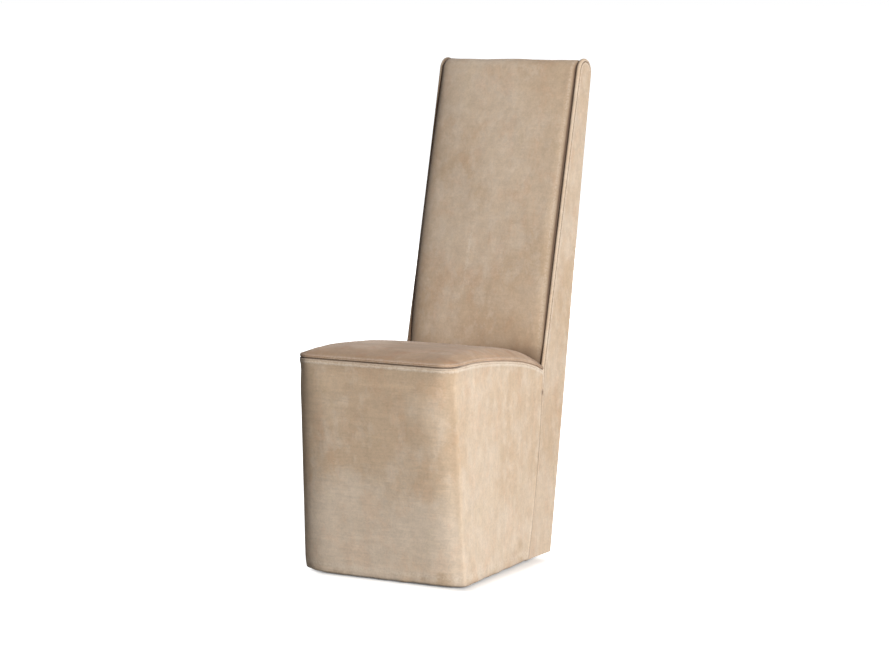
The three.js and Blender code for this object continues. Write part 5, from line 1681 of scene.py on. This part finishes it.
def seam_path(c, drop, lift):
    """Along the seat seam, from one rear corner round the front to the other."""
    sides = steps(SEAM_SIDE_STEPS, 1)
    stations = [("side", -1, 1 - share) for share in [0.0, *sides[:-1]]]
    stations += [("front", 0, mix(-1, 1, share)) for share in steps(SEAM_FRONT_STEPS)]
    stations += [("side", 1, share) for share in sides]
    rear = side_seam_y(c, c.rear_height) - SEAM_END_GAP
    path = []
    for kind, way, share in stations:
        x, y, z = 0.0, 0.0, c.seam_height
        for _ in range(SEAM_ROUNDS):
            if kind == "front":
                x, y = front_point(c, share, z, -lift)
            else:
                x, y = side_point(c, share, z, -lift, rear)
                x *= way
            z = seam_z(c, y) - drop
        path.append(Vector((x, y + c.front, z)))
    outs = []
    for k in range(len(path)):
        along = path[min(k + 1, len(path) - 1)] - path[max(k - 1, 0)]
        outs.append(Vector((along.y, -along.x, 0.0)).normalized())
    return list(zip(path, outs))


def cheek_path(c, side):
    """Up a cheek's front edge and over its round top, at the stitch's distance from the edge."""
    lower, upper, arc, _ = cheek_outline(c, EDGE_STITCH_INSET, c.hem)
    line = [p for p in lower if p[1] > EDGE_STITCH_FOOT] + upper + arc
    path = []
    for y, z in line:
        x = side * (c.back_half + flare(c, c.back_half, z) - c.stitch_sink)
        path.append((Vector((x, y + c.front, z)), Vector((side, 0.0, 0.0))))
    return path


class CHAIR_OT_stuffing(bpy.types.Operator):
    """Makes the foam and the wadding"""

    bl_idname = "chair.stuffing"
    bl_label = "Foam and wadding"

    def execute(self, context):
        tones = context.scene.inner_tones
        foam = inner_material("cut_foam", tones)
        fibre = inner_material("fibre_wadding", tones)
        for seed, node in enumerate(FOAM_NODES):
            piece = dress(stuffing(node, "cut_" + node, seed), foam, "foam", node)
        for seed, node in enumerate(WADDING_NODES, WADDING_SEED):
            piece = dress(layer(node, "fibre_" + node, seed, WADDING_SLACK), fibre, "wadding", node)
        return {"FINISHED"}


class CHAIR_OT_cloth(bpy.types.Operator):
    """Makes the burlap, the webbing straps and the dust cover"""

    bl_idname = "chair.cloth"
    bl_label = "Burlap, webbing and dust cover"

    def execute(self, context):
        tones = context.scene.inner_tones
        burlap = inner_material("burlap_weave", tones)
        webbing = inner_material("webbing_weave", tones)
        felt = inner_material("dust_cloth_felt", tones)
        cloth = layer("seat_burlap", "woven_seat_burlap", BURLAP_SEED, CLOTH_SLACK)
        piece = dress(cloth, burlap, "webbing", "seat_burlap")
        for k in range(1, STRAPS + 1):
            node = f"back_strap_{k}"
            cloth = layer(node, "woven_" + node, STRAP_SEED + k, CLOTH_SLACK)
            strap = dress(cloth, webbing, "webbing", node)
        cloth = layer("dust_cover", "felt_dust_cover", DUST_COVER_SEED, CLOTH_SLACK)
        under = dress(cloth, felt, "dust_cloth", "dust_cover")
        return {"FINISHED"}


# Starts of the solids' names and their material, of which the first that fits is taken
FRAME_LOOKS = (
    ("seat_rail_left", "sawn_timber_deep"), ("seat_rail_right", "sawn_timber_deep"),
    ("base_rail_left", "sawn_timber_deep"), ("base_rail_right", "sawn_timber_deep"),
    ("front_leg", "sawn_timber_upright"), ("rear_post", "sawn_timber_upright"),
    ("seat_rail", "sawn_timber_across"), ("base_rail", "sawn_timber_across"),
    ("back_rail", "sawn_timber_across"), ("crest_rail", "sawn_timber_across"),
    ("corner_block", "sawn_timber_across"), ("skirt_panel", "pressed_board"),
    ("outside_back_panel", "pressed_board"), ("cheek_board", "plywood"), ("seat_spring", "oiled_wire"),
    ("clip_strip", "plated_steel"), ("block_screw", "plated_steel"), ("glide", "plated_steel"),
)


class CHAIR_OT_frame(bpy.types.Operator):
    """Gives the wooden frame, the boards and the steel their materials"""

    bl_idname = "chair.frame"
    bl_label = "Frame, boards and steel"

    def execute(self, context):
        tones = context.scene.inner_tones
        names = dict.fromkeys(look for _, look in FRAME_LOOKS)
        looks = {name: inner_material(name, tones) for name in names}
        for name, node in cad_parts.items():
            for start, look in FRAME_LOOKS:
                if name.startswith(start):
                    node.data.materials.clear()
                    node.data.materials.append(looks[look])
                    break
        return {"FINISHED"}


class CHAIR_OT_stitching(bpy.types.Operator):
    """Sews the two rows on the seat seam and one row on each cheek"""

    bl_idname = "chair.stitching"
    bl_label = "Stitching"

    def execute(self, context):
        c = sizes()
        thread = context.scene.chair_thread
        look = inner_material("waxed_thread", thread)
        stitch = thread_stitch(thread)
        rows = (
            ("thread_seam_skirt", seam_path(c, SKIRT_STITCH_DROP + c.seam_gap, SKIRT_STITCH_LIFT)),
            ("thread_seam_seat", seam_path(c, -SEAT_STITCH_RISE, SEAT_STITCH_LIFT)),
            ("thread_cheek_left", cheek_path(c, 1)),
            ("thread_cheek_right", cheek_path(c, -1)),
        )
        for name, path in rows:
            dress(stitch_row(name, stitch, path, thread.pitch), look, "webbing")
        bpy.data.objects.remove(stitch)
        return {"FINISHED"}


class CHAIR_OT_covers(bpy.types.Operator):
    """Makes the leather covers"""

    bl_idname = "chair.covers"
    bl_label = "Leather covers"

    def execute(self, context):
        c = sizes()
        skirt = dress(skirt_cover(c), leather_material("base"), "leather", "skirt_cover")
        seat = dress(seat_cover(c), leather_material("seat"), "leather", "seat_cover")
        hide = leather_material("inside_back")
        back = dress(inside_back_cover(c), hide, "leather", "inside_back_cover")
        hide = leather_material("outside_back")
        rear = dress(outside_back_cover(c), hide, "leather", "outside_back_cover")
        for name, side in (("left", 1), ("right", -1)):
            hide = leather_material("cheek_" + name)
            cheek = cheek_cover(c, side, "leather_cheek_cover_" + name)
            dress(cheek, hide, "leather", "cheek_cover_" + name)
        return {"FINISHED"}


FLOOR_SIZE, FLOOR_ROUGHNESS = 400.0, 0.9
FLOOR_SEEN, FLOOR_UNSEEN = (0.9, 0.9, 0.9, 1.0), (0.2, 0.2, 0.2, 1.0)
WHITE, ORIGIN = (1.0, 1.0, 1.0, 1.0), (0.0, 0.0, 0.0)
# Lamps: place, what they are aimed at and size
LAMPS = {
    "key": ((6.56, -4.00, 2.75), (0.0, 0.0, 0.55), 3.2),
    "top": ((0.3, -0.4, 4.2), (0.0, 0.0, 0.5), 3.0),
    "rear": ((-1.8, 7.4, 2.2), (0.0, 0.0, 0.55), 3.0),
}
# The photo's camera, with y from the front of the seat, and its turns in degrees
CAMERA_X, CAMERA_Y, CAMERA_Z = 3.1034, -5.0969, 1.2965
CAMERA_DOWN, CAMERA_ROUND = 7.1, 29.8
CAMERA_SENSOR, CAMERA_LENS = 36.0, 111.77


class CHAIR_OT_stage(bpy.types.Operator):
    """Makes the floor, the lamps, the surroundings and the camera"""

    bl_idname = "chair.stage"
    bl_label = "Floor, lamps and camera"

    def execute(self, context):
        lamps = context.scene.studio_lamps
        self.floor(context, lamps)
        self.surroundings(context, lamps)
        for name, (place, goal, size) in LAMPS.items():
            self.lamp(name, place, goal, size, getattr(lamps, name))
        bpy.ops.object.camera_add(
            location=(CAMERA_X, sizes().front + CAMERA_Y, CAMERA_Z),
            rotation=(math.radians(90 - CAMERA_DOWN), 0.0, math.radians(CAMERA_ROUND)),
        )
        camera = context.object
        camera.name = "camera"
        camera.data.sensor_width = CAMERA_SENSOR
        camera.data.sensor_fit = "HORIZONTAL"
        camera.data.lens = CAMERA_LENS
        context.scene.camera = camera
        context.scene.view_settings.view_transform = "Standard"
        return {"FINISHED"}

    def floor(self, context, lamps):
        deselect()
        bpy.ops.mesh.primitive_plane_add(size=FLOOR_SIZE, location=ORIGIN)
        floor = context.object
        floor.name = "floor"
        material, t, shader = new_material("studio_floor")
        shader.inputs["Roughness"].default_value = FLOOR_ROUGHNESS
        seen = t.seen()
        t.set(shader, "Base Color", t.blend(seen, FLOOR_UNSEEN, FLOOR_SEEN))
        spot = t.add("ShaderNodeTexCoord").outputs["Object"]
        for operation, other in (
            ("SUBTRACT", FOOT_MIDDLE), ("ABSOLUTE", ORIGIN), ("SUBTRACT", FOOT_HALF),
            ("MAXIMUM", ORIGIN), ("LENGTH", ORIGIN),
        ):
            step = t.add("ShaderNodeVectorMath", {0: spot, 1: other}, operation=operation)
            spot = step.outputs[0]
        away = step.outputs["Value"]
        # Less glow round the foot: a painted contact shadow, on top of the real shadow
        added = t.levels(away, 0.0, FLOOR_FAR_AT, lamps.floor_near, lamps.floor_far)
        glow = t.add("ShaderNodeEmission")
        t.set(glow, "Strength", t.sum("MULTIPLY", seen, added))
        both = t.add("ShaderNodeAddShader")
        t.links.new(shader.outputs["BSDF"], both.inputs[0])
        t.links.new(glow.outputs["Emission"], both.inputs[1])
        output = [n for n in t.nodes if n.bl_idname == "ShaderNodeOutputMaterial"][0]
        t.links.new(both.outputs["Shader"], output.inputs["Surface"])
        floor.data.materials.append(material)

    def surroundings(self, context, lamps):
        world = bpy.data.worlds.new("surroundings")
        context.scene.world = world
        world.use_nodes = True
        world.node_tree.nodes.clear()
        t = Tree(world.node_tree)
        strength = t.sum("ADD", t.sum("MULTIPLY", t.seen(), 1.0 - lamps.around), lamps.around)
        back = t.add("ShaderNodeBackground", {"Color": WHITE})
        t.set(back, "Strength", strength)
        output = t.add("ShaderNodeOutputWorld")
        t.links.new(back.outputs["Background"], output.inputs["Surface"])

    def lamp(self, name, place, goal, size, power):
        bpy.ops.object.light_add(type="AREA", location=place)
        lamp = bpy.context.object
        lamp.name = name + "_lamp"
        lamp.rotation_euler = (Vector(goal) - Vector(place)).to_track_quat("-Z", "Y").to_euler()
        lamp.data.shape = "DISK"
        lamp.data.size = size
        lamp.data.energy = power


class CHAIR_PT_panel(bpy.types.Panel):
    """Lists the chair's pieces and their sizes"""

    bl_idname = "CHAIR_PT_panel"
    bl_label = "Chair"
    bl_space_type = "VIEW_3D"
    bl_region_type = "UI"
    bl_category = "Chair"

    def draw(self, context):
        for operator in OPERATORS:
            self.layout.operator(operator.bl_idname)
        for group in GROUPS:
            values = getattr(context.scene, group)
            box = self.layout.box()
            for key in values.bl_rna.properties.keys():
                if key not in ("rna_type", "name"):
                    box.prop(values, key)


OPERATORS = (
    CHAIR_OT_covers, CHAIR_OT_stitching, CHAIR_OT_stuffing, CHAIR_OT_cloth, CHAIR_OT_frame,
    CHAIR_OT_stage,
)
GROUPS = {
    "chair_sizes": ChairSizes, "chair_thread": ChairThread,
    "leather_tones": LeatherTones, "inner_tones": InnerTones, "studio_lamps": StudioLamps,
}


def register():
    for name, group in GROUPS.items():
        bpy.utils.register_class(group)
        setattr(bpy.types.Scene, name, bpy.props.PointerProperty(type=group))
    for kind in (*OPERATORS, CHAIR_PT_panel):
        bpy.utils.register_class(kind)


def unregister():
    for kind in reversed((*OPERATORS, CHAIR_PT_panel)):
        bpy.utils.unregister_class(kind)
    for name, group in GROUPS.items():
        delattr(bpy.types.Scene, name)
        bpy.utils.unregister_class(group)


def main():
    register()
    for operator in OPERATORS:
        group, name = operator.bl_idname.split(".")
        getattr(getattr(bpy.ops, group), name)()


if __name__ == "__main__":
    main()
